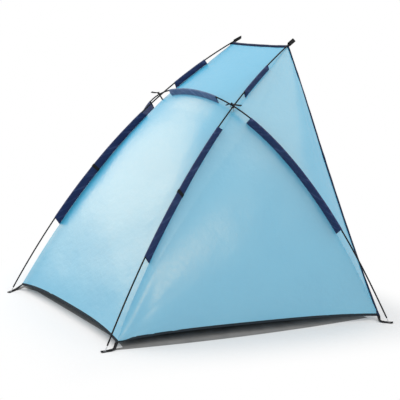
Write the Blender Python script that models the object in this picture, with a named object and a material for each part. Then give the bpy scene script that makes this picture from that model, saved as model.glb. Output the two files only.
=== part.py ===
"""A beach tent: three sprung poles carry a sewn canopy over a loose groundsheet.

Metres, +Z up. The tent stands on z = 0, with the middle of its outline at the origin.
X runs across the tent, and its open front looks along -Y. The pieces named left are at -X.
Until the last step, depths are measured from the line between the two front feet.
"""

import math

import bmesh
import bpy
import numpy as np
from mathutils import Matrix

# Driving dimensions of the whole tent
front_feet_spacing = 2.0
rear_feet_spacing = 0.886
feet_depth = 1.168
tip_spacing = 0.402
tip_overhang = 0.148
tip_height = 1.228

# How far the two handles of a rear pole's curve rise square to the line from foot to tip
rear_pole_lift_low = 0.165
rear_pole_lift_high = 0.198

# The arch: its crown above the crossings, and its shoulder between a foot and a crossing
arch_crown_rise = 0.056
arch_shoulder_out_share = 0.766
arch_shoulder_up_share = 0.436

# Places along a rear pole, as shares of its length from the foot
rear_corner_share = 0.030
rear_sleeve_shares = (0.235, 0.617)
rear_band_share = 0.414
crossing_share = 0.691
upper_sleeve_shares = (0.749, 0.864)
tip_corner_share = 0.969

# Places along the arch, as shares of its length from the right foot
front_corner_share = 0.012
arch_sleeve_shares = (0.156, 0.367)
top_sleeve_shares = (0.441, 0.559)

# How far the canopy's seams lie inside the poles
rear_seam_drop = 0.040
crossing_drop = 0.030
upper_seam_drop = 0.025
tip_seam_drop = 0.006
foot_seam_drop = 0.047
arch_seam_drop = 0.048
crown_seam_drop = 0.030
meeting_reach = 0.11
rear_corner_out = 0.008

# Free edges of the canopy: how far each is drawn up and in from a straight line
back_hem_rise = 0.022
back_hem_pull = 0.020
side_hem_rise = 0.016
side_hem_pull = 0.016
front_edge_pull = 0.015
roof_edge_sag = 0.004
roof_edge_pull = 0.005

# Poles
rod_diameter = 0.007
rod_wall = 0.0012
rear_pole_sections = 3
arch_pole_sections = 5
spigot_gap = 0.00035
spigot_wall = 0.0004
spigot_length = 0.060
shock_cord_diameter = 0.0018
pin_gap = 0.0006
pin_reach = 0.026
pin_shank = 0.025
cord_knot_gap = 0.00035
cord_knot_length = 0.009
pole_step = 0.085
rod_sides = 8
pin_end_share = 0.5
rod_bore = rod_diameter - 2 * rod_wall
spigot_diameter = rod_bore - 2 * spigot_gap
pin_diameter = rod_bore - 2 * pin_gap
cord_knot_diameter = rod_bore - 2 * cord_knot_gap

# Cloth, webbing and cord
cloth_thickness = 0.0008
seam_gap = 0.0006
corner_cut = 0.024
sleeve_gap = 0.0009
sleeve_wall = 0.0009
sleeve_tail_gap = 0.0005
sleeve_tail_thickness = 0.001
band_length = 0.016
band_thickness = 0.0012
hem_width = 0.010
edge_width = 0.008
binding_thickness = 0.0016
binding_cut = 0.015
binding_gap = 0.0008
fold_height = 0.004
fold_count = 4
corner_fold_reach_share = 0.45

# Corner tabs on the ground, their eyelets and straps
tab_width = 0.020
tab_inner_reach = 0.031
tab_outer_reach = 0.018
webbing_thickness = 0.0012
eyelet_hole = 0.0066
eyelet_barrel = 0.0086
eyelet_flange = 0.0145
eyelet_flange_thickness = 0.0005
eyelet_sides = 12
# How far each tab is turned, in degrees, from the line between its pin and the canopy's corner
rear_tab_turn = 20
front_tab_turn = -30
strap_width = 0.015
strap_start = 0.004
strap_steps = 6

# Pockets over the pole tips
pocket_width = 0.021
pocket_wall = 0.00125
pocket_depth = 0.045
pocket_end_thickness = 0.005
pocket_gap = 0.00045
pocket_sides = 12
pocket_thickness = rod_diameter + 2 * (pocket_gap + pocket_wall)

# Ties round the crossings
tie_cord_diameter = 0.003
tie_loop_gap = 0.0014
tie_knot_length = 0.016
tie_knot_width = 0.012
tie_knot_height = 0.009
tie_tail_length = 0.038
tie_tail_width = 0.007
tie_tail_thickness = 0.0016
tie_tail_rise = 0.012
tie_sides = 6

# Groundsheet
sheet_thickness = 0.0005
sheet_front_spacing = 1.80
sheet_front_setback = 0.03
sheet_side_bulge = 0.030
sheet_back_pull = 0.075
sheet_back_corner_share = 0.8
sheet_tongue_length = 0.09
sheet_tongue_width = 0.012

# The gap between pieces that touch
fit_gap = 0.0003

LEFT, RIGHT = -1, 1
SIDES = (("left", LEFT), ("right", RIGHT))


def remove_everything():
    for old in list(bpy.data.objects):
        bpy.data.objects.remove(old, do_unlink=True)


# Directions and curves


def unit(vector):
    return np.asarray(vector, float) / np.linalg.norm(vector)


def mirrored(points, side):
    """The same points on the given side of the tent."""
    return np.asarray(points, float) * np.array([side, 1, 1])


def bezier(corners, count):
    """Evenly counted points of a cubic curve with two handles."""
    t = np.linspace(0, 1, count)[:, None]
    a, b, c, d = corners
    return (1 - t) ** 3 * a + 3 * (1 - t) ** 2 * t * b + 3 * (1 - t) * t**2 * c + t**3 * d


def distances(points):
    """How far along the line each of its points is."""
    steps = np.linalg.norm(np.diff(points, axis=0), axis=1)
    return np.concatenate(([0], np.cumsum(steps)))


def along(points, places):
    """Points at the given distances along a line of points."""
    have = distances(points)
    return np.stack([np.interp(places, have, points[:, i]) for i in range(3)], axis=1)


def spline(points, count):
    """Points of the smooth curve through the given points, as a sprung rod bends."""
    points = np.asarray(points, float)
    knots = distances(points)
    h = np.diff(knots)
    n = len(points)
    system = np.eye(n)
    load = np.zeros((n, 3))
    for i in range(1, n - 1):
        system[i, i - 1 : i + 2] = h[i - 1], 2 * (h[i - 1] + h[i]), h[i]
        load[i] = 6 * ((points[i + 1] - points[i]) / h[i] - (points[i] - points[i - 1]) / h[i - 1])
    bend = np.linalg.solve(system, load)
    t = np.linspace(0, knots[-1], count)
    i = np.clip(np.searchsorted(knots, t) - 1, 0, n - 2)
    left = (t - knots[i])[:, None]
    right = (knots[i + 1] - t)[:, None]
    span = h[i][:, None]
    cubic = (bend[i] * right**3 + bend[i + 1] * left**3) / (6 * span)
    start = (points[i] / span - bend[i] * span / 6) * right
    end = (points[i + 1] / span - bend[i + 1] * span / 6) * left
    return cubic + start + end


BACK_HEM_POINTS = 15
SIDE_EDGE_POINTS = 17
ROOF_EDGE_POINTS = 9
SKEW_SCALE = 27 / 4  # brings the highest place of a skewed edge's shape to 1
KNOT_TURNS = (-60, -20, 20, 60)
LOOP_TURNS = range(0, 360, 30)
FINE = 1201  # points of a smooth curve before it is cut into steps
CUT_STEPS = 321  # points of a line on which the place to cut it is looked for


class Route:
    """A pole's centre line, cut into straight steps at the places where pieces start and end."""

    def __init__(self, curve, shares, sideways, end_inset):
        self.end_inset = end_inset
        fine = distances(curve)
        self.length = fine[-1]
        places = [share * self.length for share in shares]
        stations = [places[0]]
        for start, end in zip(places, places[1:]):
            parts = max(1, math.ceil((end - start) / pole_step))
            stations += [start + (end - start) * (i + 1) / parts for i in range(parts)]
        self.stations = np.array(stations)
        self.knots = along(curve, self.stations)
        self.sideways = unit(sideways)
        steps = np.diff(self.knots, axis=0)
        steps /= np.linalg.norm(steps, axis=1)[:, None]
        tangents = np.vstack([steps[:1], steps[:-1] + steps[1:], steps[-1:]])
        self.outwards = np.array([unit(np.cross(t, self.sideways)) for t in tangents])

    def point(self, place):
        return np.array([np.interp(place, self.stations, self.knots[:, i]) for i in range(3)])

    def outward(self, place):
        return unit([np.interp(place, self.stations, self.outwards[:, i]) for i in range(3)])

    def at(self, share):
        return share * self.length

    def between(self, start, end):
        """The stations from start to end, both included."""
        near = fit_gap
        inner = [s for s in self.stations if start + near < s < end - near]
        return [start] + inner + [end]

    def start_direction(self):
        return unit(self.knots[1] - self.knots[0])

    def end_direction(self):
        return unit(self.knots[-1] - self.knots[-2])

    def mirrored(self, side):
        """The same route on the given side of the tent, with its frame mirrored too."""
        twin = object.__new__(Route)
        twin.end_inset = self.end_inset
        twin.length = self.length
        twin.stations = self.stations
        twin.knots = mirrored(self.knots, side)
        twin.sideways = mirrored(self.sideways, side)
        twin.outwards = mirrored(self.outwards, side)
        return twin


def rear_pole_route():
    foot = np.array([rear_feet_spacing / 2, feet_depth, 0])
    tip = np.array([tip_spacing / 2, -tip_overhang, tip_height])
    chord = tip - foot
    across = np.cross(chord, [0, 0, 1])
    lift = unit(np.cross(across, chord))
    low = foot + chord / 3 + lift * rear_pole_lift_low
    high = foot + chord * 2 / 3 + lift * rear_pole_lift_high
    curve = bezier((foot, low, high, tip), FINE)
    shares = (0, rear_corner_share, rear_sleeve_shares[0], rear_band_share)
    shares += (rear_sleeve_shares[1], crossing_share) + upper_sleeve_shares + (tip_corner_share, 1)
    return Route(curve, shares, -across, 0)


def arch_route(rear):
    """The arch, which passes just over each rear pole at the crossing."""
    foot = np.array([front_feet_spacing / 2, 0, 0])
    under = rear.point(rear.at(crossing_share))
    crown = np.array([0, 0, under[2] + arch_crown_rise])
    over = crown - under * np.array([1, 0, 1])
    along_rear = np.cross(rear.sideways, rear.outward(rear.at(crossing_share)))
    up = unit(np.cross(unit([over[0], 0, over[2]]), along_rear))
    up *= math.copysign(1, up[2])
    crossing = under + up * (rod_diameter + fit_gap)
    crown[1] = crown[2] * crossing[1] / crossing[2]
    shoulder = crossing * arch_shoulder_up_share
    shoulder[0] = crossing[0] + (foot[0] - crossing[0]) * arch_shoulder_out_share
    half = [foot, shoulder, crossing, crown]
    points = half + [mirrored(p, LEFT) for p in half[-2::-1]]
    curve = spline(points, FINE)
    fine = distances(curve)
    nearest = np.argmin(np.linalg.norm(curve - crossing, axis=1))
    crossing_at = fine[nearest] / fine[-1]
    half_shares = [0, front_corner_share, *arch_sleeve_shares, crossing_at, top_sleeve_shares[0]]
    shares = half_shares + [0.5] + [1 - s for s in half_shares[::-1]]
    sideways = np.array([0, -crossing[2], crossing[1]])
    return Route(curve, shares, sideways, pin_reach), crossing_at


# Seams of the canopy, which follow the poles at a short distance inside them


class Seam:
    """The line where two panels and a sleeve are sewn together."""

    def __init__(self, route, shares, drops):
        self.route = route
        self.shares = shares
        self.drops = drops
        self.pulls = []

    def drop(self, place):
        return np.interp(place / self.route.length, self.shares, self.drops)

    def plain(self, place):
        return self.route.point(place) - self.route.outward(place) * self.drop(place)

    def pull_to(self, place, target):
        """Draws the seam to a target point, with no change beyond the meeting's reach."""
        self.pulls.append((place, target - self.plain(place)))

    def point(self, place):
        result = self.plain(place)
        for middle, shift in self.pulls:
            off = abs(place - middle) / meeting_reach
            if off < 1:
                result = result + shift * (1 + math.cos(math.pi * off)) / 2
        return result

    def line(self, start, end):
        """The seam's points from one place along the pole to another."""
        return np.array([self.point(p) for p in self.route.between(start, end)])


def rear_seam(rear):
    shares = (rear_corner_share, rear_band_share, crossing_share, upper_sleeve_shares[1])
    drops = (rear_seam_drop, rear_seam_drop, crossing_drop, upper_seam_drop, tip_seam_drop)
    return Seam(rear, shares + (tip_corner_share,), drops)


def arch_seam(arch, crossing_at):
    half = (front_corner_share, arch_sleeve_shares[1], crossing_at)
    shares = half + (0.5,) + tuple(1 - s for s in half[::-1])
    drops = (foot_seam_drop, arch_seam_drop, crossing_drop)
    return Seam(arch, shares, drops + (crown_seam_drop,) + drops[::-1])


# Meshes


def material(name, colour, roughness, metallic=0):
    made = bpy.data.materials.new(name)
    made.use_nodes = True
    shader = made.node_tree.nodes["Principled BSDF"]
    shader.inputs["Base Color"].default_value = (*colour, 1)
    shader.inputs["Roughness"].default_value = roughness
    shader.inputs["Metallic"].default_value = metallic
    return made


def add_object(name, bm, made_of, round_piece=False):
    """Turns a mesh under construction into the named piece."""
    bmesh.ops.recalc_face_normals(bm, faces=bm.faces)
    if bm.calc_volume(signed=True) < 0:
        bmesh.ops.reverse_faces(bm, faces=bm.faces)
    mesh = bpy.data.meshes.new(name)
    bm.to_mesh(mesh)
    bm.free()
    if round_piece:
        mesh.shade_smooth()
        mesh.set_sharp_from_angle(angle=math.radians(40))
    mesh.materials.append(made_of)
    piece = bpy.data.objects.new(name, mesh)
    bpy.context.collection.objects.link(piece)
    return piece


def ring_of(bm, points):
    return [bm.verts.new(p) for p in points]


def wall(bm, first, second):
    """Faces between two rings of as many points."""
    count = len(first)
    for i in range(count):
        j = (i + 1) % count
        bm.faces.new((first[i], first[j], second[j], second[i]))


def add_sweep(bm, outer, inner=None):
    """A closed body along rings of points, with a bore where inner rings are given."""
    outer = [ring_of(bm, r) for r in outer]
    for first, second in zip(outer, outer[1:]):
        wall(bm, first, second)
    if inner is None:
        bm.faces.new(outer[0])
        bm.faces.new(outer[-1])
        return
    inner = [ring_of(bm, r) for r in inner]
    for first, second in zip(inner, inner[1:]):
        wall(bm, first, second)
    wall(bm, outer[0], inner[0])
    wall(bm, outer[-1], inner[-1])


def circle(centre, one, two, radius, sides):
    """Points of a circle spanned by two directions."""
    turns = [2 * math.pi * i / sides for i in range(sides)]
    return [centre + radius * (math.cos(a) * one + math.sin(a) * two) for a in turns]


def rod_rings(route, places, radius):
    rings = []
    for place in places:
        outward = route.outward(place)
        rings.append(circle(route.point(place), outward, route.sideways, radius, rod_sides))
    return rings


def add_tube(bm, route, start, end, diameter, bore=0):
    places = route.between(start, end)
    outer = rod_rings(route, places, diameter / 2)
    inner = rod_rings(route, places, bore / 2) if bore else None
    add_sweep(bm, outer, inner)


# Poles and what is inside them


def section_ends(route, sections):
    """Where each section of a pole starts and ends, with a gap at each joint."""
    start = pin_reach
    end = route.length - route.end_inset
    cuts = [start + (end - start) * i / sections for i in range(sections + 1)]
    half = fit_gap / 2
    ends = []
    for i, (a, b) in enumerate(zip(cuts, cuts[1:])):
        ends.append((a + (half if i else 0), b - (half if i < sections - 1 else 0)))
    return ends


def build_pole(names, route, sections, made_of):
    for name, (start, end) in zip(names, section_ends(route, sections)):
        bm = bmesh.new()
        add_tube(bm, route, start, end, rod_diameter, rod_bore)
        add_object(name, bm, made_of, round_piece=True)


def build_spigots(word, route, sections, made_of):
    """Short inner tubes that join the sections, one at each joint of a pole."""
    for number, (start, end) in enumerate(section_ends(route, sections)[:-1], 1):
        middle = end + fit_gap / 2
        half = spigot_length / 2
        bm = bmesh.new()
        bore = spigot_diameter - 2 * spigot_wall
        add_tube(bm, route, middle - half, middle + half, spigot_diameter, bore)
        add_object(f"spigot_{word}_{number}", bm, made_of, round_piece=True)


def build_shock_cord(name, route, made_of):
    """The elastic cord inside a pole, from pin to pin or from pin to a knot at the tip."""
    start = pin_reach + pin_shank + fit_gap
    bm = bmesh.new()
    if route.end_inset:
        end = route.length - route.end_inset - pin_shank - fit_gap
        add_tube(bm, route, start, end, shock_cord_diameter)
        return add_object(name, bm, made_of, round_piece=True)
    end = route.length - cord_knot_length
    rings = rod_rings(route, route.between(start, end), shock_cord_diameter / 2)
    quarter = cord_knot_length / 4
    knot = [end + quarter, end + 2 * quarter, end + 3 * quarter]
    rings += rod_rings(route, knot[:2], cord_knot_diameter / 2)
    rings += rod_rings(route, knot[2:], shock_cord_diameter / 2)
    add_sweep(bm, rings)
    return add_object(name, bm, made_of, round_piece=True)


def lean(direction):
    """The tangent of a direction's angle to the vertical."""
    return math.hypot(direction[0], direction[1]) / abs(direction[2])


def build_pin(name, route, made_of):
    """A steel pin: its shank is in the pole's end and its rounded point stands on the ground."""
    radius = pin_diameter / 2
    end_radius = radius * pin_end_share
    start = end_radius * lean(route.start_direction())
    full = radius * lean(route.start_direction()) + fit_gap
    profile = [(start, end_radius), (full, radius), (pin_reach + pin_shank, radius)]
    bm = bmesh.new()
    add_sweep(bm, [rod_rings(route, [place], r)[0] for place, r in profile])
    return add_object(name, bm, made_of, round_piece=True)


# Canopy panels


def trimmed(line, keep_off, count_shares):
    """A line cut back from the lines at its two ends, then spread by the given shares."""
    places = np.linspace(0, distances(line)[-1], CUT_STEPS)
    dense = along(line, places)
    spare = np.min([gap_to(edge, dense) - gap for edge, gap in keep_off], axis=0)
    clear = np.flatnonzero(spare >= 0)
    start = cut_place(places, spare, clear[0], max(clear[0] - 1, 0))
    end = cut_place(places, spare, clear[-1], min(clear[-1] + 1, CUT_STEPS - 1))
    return along(line, start + count_shares * (end - start))


def cut_place(places, spare, inside, outside):
    """Where a line's spare distance is zero, between a clear place and the next one."""
    if inside == outside:
        return places[inside]
    share = spare[inside] / (spare[inside] - spare[outside])
    return places[inside] + (places[outside] - places[inside]) * share


def gap_to(edge, points):
    """How far each point is from a line of points."""
    start = edge[:-1][None]
    step = np.diff(edge, axis=0)[None]
    off = points[:, None] - start
    share = np.clip((off * step).sum(2) / (step**2).sum(2), 0, 1)
    return np.linalg.norm(off - share[..., None] * step, axis=2).min(axis=1)


def shares_of(line):
    return distances(line) / distances(line)[-1]


def patch(bottom, top, left, right, u, v):
    """A surface stretched between four edges, at the shares u across it and v up it."""
    low = along(bottom, u * distances(bottom)[-1])[:, None]
    high = along(top, u * distances(top)[-1])[:, None]
    near = along(left, v * distances(left)[-1])[None]
    far = along(right, v * distances(right)[-1])[None]
    u = u[:, None, None]
    v = v[None, :, None]
    corners = (1 - u) * (1 - v) * bottom[0] + u * (1 - v) * bottom[-1]
    corners = corners + (1 - u) * v * top[0] + u * v * top[-1]
    return (1 - v) * low + v * high + (1 - u) * near + u * far - corners


def trimmed_patch(grid, across_edges, along_edges):
    """Cuts a surface back from its neighbours, first across and then along."""
    u = np.array([shares_of(row) for row in grid.transpose(1, 0, 2)]).mean(axis=0)
    grid = np.stack([trimmed(row, across_edges, u) for row in grid.transpose(1, 0, 2)], axis=1)
    v = np.array([shares_of(column) for column in grid]).mean(axis=0)
    return np.stack([trimmed(column, along_edges, v) for column in grid], axis=0)


def build_cloth(name, grid, thickness, made_of):
    """A sheet on a grid of points, thickened to both sides."""
    bm = bmesh.new()
    columns = [ring_of(bm, column) for column in grid]
    for one, two in zip(columns, columns[1:]):
        for j in range(len(one) - 1):
            bm.faces.new((one[j], two[j], two[j + 1], one[j + 1]))
    piece = add_object(name, bm, made_of, round_piece=True)
    solid = piece.modifiers.new("thickness", "SOLIDIFY")
    solid.thickness = thickness
    solid.offset = 0
    return piece


def hem(start, end, shift, count, skew=False):
    """A free edge from start to end, drawn aside by the shift along most of its length."""
    t = np.linspace(0, 1, count)
    shape = SKEW_SCALE * t**2 * (1 - t) if skew else 1 - np.abs(2 * t - 1) ** 3
    return start + (end - start) * t[:, None] + shape[:, None] * shift


def binding_grid(edges, width, cut):
    """A tape along edges that follow each other, each with a point that its inner side faces.

    Where two edges meet, the tape's inner side is on the seam, whose point is given with them.
    """
    outer = []
    inner = []
    for edge, towards, seam_point in edges:
        steps = np.gradient(edge, axis=0)
        steps /= np.linalg.norm(steps, axis=1)[:, None]
        aside = towards - edge
        aside -= (aside * steps).sum(axis=1)[:, None] * steps
        aside /= np.linalg.norm(aside, axis=1)[:, None]
        if outer:
            aside[0] = unit(start_seam - edge[0])
        if seam_point is not None:
            aside[-1] = unit(seam_point - edge[-1])
        start_seam = seam_point
        first = 1 if outer else 0
        outer += list(edge[first:])
        inner += list((edge + aside * width)[first:])
    outer, inner = np.array(outer), np.array(inner)
    places = distances(outer)
    ends = [cut, places[-1] - cut]
    at = [ends[0], *[p for p in places if ends[0] < p < ends[1]], ends[1]]
    pair = []
    for line in (outer, inner):
        columns = [np.interp(at, places, line[:, i]) for i in range(3)]
        pair.append(np.stack(columns, axis=1))
    return np.stack(pair, axis=1)


class Canopy:
    """The seams and free edges of the canopy's right half, from which every panel is cut."""

    def __init__(self, rear, arch, crossing_at):
        self.rear = rear
        self.arch = arch
        self.rear_seam = rear_seam(rear)
        self.arch_seam = arch_seam(arch, crossing_at)
        rear_place = rear.at(crossing_share)
        arch_place = arch.at(crossing_at)
        self.meeting = (self.rear_seam.plain(rear_place) + self.arch_seam.plain(arch_place)) / 2
        self.rear_seam.pull_to(rear_place, self.meeting)
        corner_place = rear.at(rear_corner_share)
        out = np.array([rear_corner_out, 0, 0])
        self.rear_seam.pull_to(corner_place, self.rear_seam.plain(corner_place) + out)
        self.arch_seam.pull_to(arch_place, self.meeting)
        self.arch_seam.pull_to(arch.length - arch_place, mirrored(self.meeting, LEFT))
        self.low = self.rear_seam.line(corner_place, rear_place)
        self.high = self.rear_seam.line(rear_place, rear.at(tip_corner_share))[::-1]
        self.side = self.arch_seam.line(arch.at(front_corner_share), arch_place)[::-1]
        self.top = self.arch_seam.line(arch_place, arch.length - arch_place)
        self.rear_corner = self.low[0]
        self.front_corner = self.side[-1]
        self.tip_corner = self.high[0]
        lift = np.array([0, 0, 1.0])
        inwards = np.array([-1.0, 0, 0])
        back = np.array([0, 1.0, 0])
        shift = lift * back_hem_rise - back * back_hem_pull
        self.back_hem = hem(self.rear_corner, mirrored(self.rear_corner, LEFT), shift, BACK_HEM_POINTS)
        shift = lift * side_hem_rise + inwards * side_hem_pull
        self.side_hem = hem(self.rear_corner, self.front_corner, shift, SIDE_EDGE_POINTS)
        shift = back * front_edge_pull
        points = SIDE_EDGE_POINTS
        self.front_edge = hem(self.tip_corner, self.front_corner, shift, points, skew=True)
        shift = back * roof_edge_pull - lift * roof_edge_sag
        twin = mirrored(self.tip_corner, LEFT)
        self.roof_edge = hem(self.tip_corner, twin, shift, ROOF_EDGE_POINTS)

    def back_wall(self):
        twin = mirrored(self.low, LEFT)
        u, v = shares_of(self.top), shares_of(self.low)
        grid = patch(self.back_hem, self.top, self.low, twin, u, v)
        across = [(self.low, seam_gap), (twin, seam_gap)]
        up = [(self.back_hem, hem_width + binding_gap), (self.top, seam_gap)]
        return trimmed_patch(grid, across, up)

    def roof(self):
        twin = mirrored(self.high, LEFT)
        u, v = shares_of(self.top), shares_of(self.high)
        grid = patch(self.roof_edge, self.top, self.high, twin, u, v)
        across = [(self.high, seam_gap), (twin, seam_gap)]
        up = [(self.roof_edge, edge_width + binding_gap), (self.top, seam_gap)]
        return trimmed_patch(grid, across, up)

    def fan(self, corner, seam, edge, edge_width_here, others):
        """A three-sided panel that spreads from a corner to the seam under the arch."""
        u = shares_of(self.side)
        v = shares_of(seam)
        v[0] = corner_cut / distances(seam)[-1]
        point = np.repeat(corner[None], 2, axis=0)
        grid = patch(point, self.side, seam, edge, u, v)
        across = [(seam, seam_gap), (edge, edge_width_here + binding_gap)] + others
        return trimmed_patch(grid, across, [(self.side, seam_gap)])

    def rear_side(self, side):
        others = [(self.front_edge, edge_width + binding_gap)]
        grid = self.fan(self.rear_corner, self.low, self.side_hem, hem_width, others)
        return mirrored(with_folds(grid), side)

    def front_side(self, side):
        grid = self.fan(self.tip_corner, self.high, self.front_edge, edge_width, [])
        return mirrored(with_folds(grid), side)


def with_folds(grid):
    """Adds the folds that fan out from a panel's corner, flat again at its edges."""
    columns, rows = grid.shape[:2]
    across = np.gradient(grid, axis=0)
    outwards = np.gradient(grid, axis=1)
    normal = np.cross(across, outwards)
    normal /= np.linalg.norm(normal, axis=2)[..., None]
    u = np.linspace(0, 1, columns)[:, None]
    v = np.linspace(0, 1, rows)[None]
    wave = np.sin(2 * math.pi * fold_count * u) * np.sin(math.pi * u)
    reach = np.clip(v / corner_fold_reach_share, 0, 1)
    height = fold_height * wave * np.sin(math.pi * reach) ** 2
    return grid + normal * height[..., None]


def build_panels(canopy, cloth):
    build_cloth("back_wall", canopy.back_wall(), cloth_thickness, cloth)
    build_cloth("roof_panel", canopy.roof(), cloth_thickness, cloth)
    for word, side in SIDES:
        build_cloth(f"rear_side_panel_{word}", canopy.rear_side(side), cloth_thickness, cloth)
        build_cloth(f"front_side_panel_{word}", canopy.front_side(side), cloth_thickness, cloth)


def build_bindings(canopy, hem_tape, mouth_tape):
    """Two tapes sewn round the free edges: one along the ground and one round the mouth."""
    ground = bound_edges(canopy.side_hem, canopy.back_hem, canopy.low[1], canopy)
    grid = binding_grid(ground, hem_width, binding_cut)
    build_cloth("hem_binding", grid, binding_thickness, hem_tape)
    mouth = bound_edges(canopy.front_edge, canopy.roof_edge, canopy.high[1], canopy)
    grid = binding_grid(mouth, edge_width, binding_cut)
    build_cloth("mouth_binding", grid, binding_thickness, mouth_tape)


def bound_edges(right, across, seam_point, canopy):
    """The edges from the right front corner round to the left one, for one tape."""
    left_seam = mirrored(seam_point, LEFT)
    middle = canopy.top.mean(axis=0)
    edges = [(right[::-1], canopy.meeting, seam_point), (across, middle, left_seam)]
    return edges + [(mirrored(right, LEFT), mirrored(canopy.meeting, LEFT), None)]


# Sleeves that hold the poles to the canopy

ARC_TURNS = (-120, -72, -24, 24, 72, 120)
TAIL_TURNS = (165, -165)


def sleeve_ring(seam, place, grow):
    """The outline of a sleeve at a place along the pole: round the pole, flat at the seam."""
    centre = seam.route.point(place)
    to_seam = seam.point(place) - centre
    width = np.linalg.norm(to_seam)
    inward = to_seam / width
    across = seam.route.sideways
    radius = rod_diameter / 2 + sleeve_gap + sleeve_wall + grow
    tail = sleeve_tail_thickness / 2 + grow
    ring = []
    for turn in ARC_TURNS:
        a = math.radians(turn)
        ring.append(centre + radius * (math.sin(a) * across - math.cos(a) * inward))
    end = centre + inward * (width - sleeve_tail_gap)
    return ring + [end + across * tail, end - across * tail]


def sleeve_bore(seam, place):
    centre = seam.route.point(place)
    inward = unit(seam.point(place) - centre)
    radius = rod_diameter / 2 + sleeve_gap
    ring = []
    for turn in ARC_TURNS + TAIL_TURNS:
        a = math.radians(turn)
        ring.append(centre + radius * (math.sin(a) * seam.route.sideways - math.cos(a) * inward))
    return ring


def build_sleeve(name, seam, shares, side, made_of):
    places = seam.route.between(*[seam.route.at(s) for s in shares])
    outer = [mirrored(sleeve_ring(seam, p, 0), side) for p in places]
    inner = [mirrored(sleeve_bore(seam, p), side) for p in places]
    bm = bmesh.new()
    add_sweep(bm, outer, inner)
    return add_object(name, bm, made_of, round_piece=True)


def build_band(name, seam, side, made_of):
    """A band of webbing round the sleeve, open where the sleeve meets the canopy."""
    middle = seam.route.at(rear_band_share)
    rings = []
    for place in (middle - band_length / 2, middle, middle + band_length / 2):
        outer = sleeve_ring(seam, place, fit_gap + band_thickness)
        inner = sleeve_ring(seam, place, fit_gap)
        opened = [outer[-1], *outer[:-1]]
        back = [inner[-1], *inner[:-1]][::-1]
        rings.append(mirrored(opened + back, side))
    bm = bmesh.new()
    add_sweep(bm, rings)
    return add_object(name, bm, made_of, round_piece=True)


# Corner tabs, eyelets and straps


def set_origin(piece, point):
    """Moves a piece's origin to a point on its joint's axis, and leaves the piece in place."""
    piece.data.transform(Matrix.Translation([-c for c in point]))
    piece.location = point


def webbing_levels():
    """The heights of the underside and top of a tab's webbing."""
    low = eyelet_flange_thickness + fit_gap
    return low, low + webbing_thickness


def tab_outline(towards, gap_share):
    """Points round a tab, seen from its pin, and the points of a circle at the same angles."""
    aside = np.array([-towards[1], towards[0], 0])
    half = tab_width / 2
    bevel = half / 2
    long, short = tab_inner_reach, tab_outer_reach
    outline = [(long, -half), (long, 0), (long, half), (long / 2, half), (0, half)]
    outline += [(bevel - short, half), (-short, bevel), (-short, 0), (-short, -bevel)]
    outline += [(bevel - short, -half), (0, -half), (long / 2, -half)]
    outer = [towards * a + aside * b for a, b in outline]
    inner = [unit(p) * gap_share for p in outer]
    return outer, inner


def build_tab(name, foot, towards, made_of):
    low, high = webbing_levels()
    outer, inner = tab_outline(towards, eyelet_barrel / 2 + 2 * fit_gap)
    up = np.array([0, 0, 1.0])
    bm = bmesh.new()
    outers = [[foot + p + up * z for p in outer] for z in (low, high)]
    inners = [[foot + p + up * z for p in inner] for z in (low, high)]
    add_sweep(bm, outers, inners)
    piece = add_object(name, bm, made_of)
    set_origin(piece, foot + up * (low + high) / 2)
    return piece


def build_eyelet(name, foot, made_of):
    """A steel eyelet with a flange on each side of the tab."""
    low, high = webbing_levels()
    top = high + fit_gap + eyelet_flange_thickness
    flange, barrel, hole = eyelet_flange / 2, eyelet_barrel / 2, eyelet_hole / 2
    profile = [(hole, 0), (flange, 0), (flange, low - fit_gap), (barrel, low - fit_gap)]
    profile += [(barrel, high + fit_gap), (flange, high + fit_gap), (flange, top), (hole, top)]
    x, y, z = np.eye(3)
    rings = [circle(foot + z * height, x, y, radius, eyelet_sides) for radius, height in profile]
    bm = bmesh.new()
    loops = [ring_of(bm, r) for r in rings]
    for first, second in zip(loops, loops[1:] + loops[:1]):
        wall(bm, first, second)
    piece = add_object(name, bm, made_of, round_piece=True)
    set_origin(piece, foot + z * (low + high) / 2)
    return piece


def build_strap(name, corner, foot, towards, made_of):
    """A strap of webbing from a corner of the canopy down to the end of its tab."""
    up = np.array([0, 0, 1.0])
    end = foot + towards * (tab_inner_reach + 2 * fit_gap) + up * sum(webbing_levels()) / 2
    top = corner + unit(end - corner) * strap_start
    last = unit(np.cross(up, top - end))
    first = np.cross(up, towards)
    rows = []
    for share in np.linspace(0, 1, strap_steps):
        wide = unit(first * (1 - share) + last * share) * strap_width / 2
        middle = end * (1 - share) + top * share
        rows.append([middle - wide, middle, middle + wide])
    return build_cloth(name, np.array(rows), webbing_thickness, made_of)


def eyelet_place(route):
    """The point on the ground under the middle of the eyelet, which is on the leaning pin."""
    low, high = webbing_levels()
    direction = route.start_direction()
    foot = route.knots[0] + direction * (low + high) / 2 / direction[2]
    return foot * np.array([1, 1, 0])


def tab_direction(route, corner, turn):
    """The level direction of a tab from its pin towards the canopy, on the right side."""
    x, y, _ = unit((corner - eyelet_place(route)) * np.array([1, 1, 0]))
    a = math.radians(turn)
    return np.array([x * math.cos(a) - y * math.sin(a), x * math.sin(a) + y * math.cos(a), 0])


def build_corner(place, route, corner, turn, side, webbing, steel):
    """The tab, eyelet and strap at one corner of the tent."""
    foot = mirrored(eyelet_place(route), side)
    towards = mirrored(tab_direction(route, corner, turn), side)
    build_tab(f"corner_tab_{place}", foot, towards, webbing)
    build_eyelet(f"eyelet_{place}", foot, steel)
    build_strap(f"corner_strap_{place}", mirrored(corner, side), foot, towards, webbing)


# Pockets over the tips of the rear poles


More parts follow.
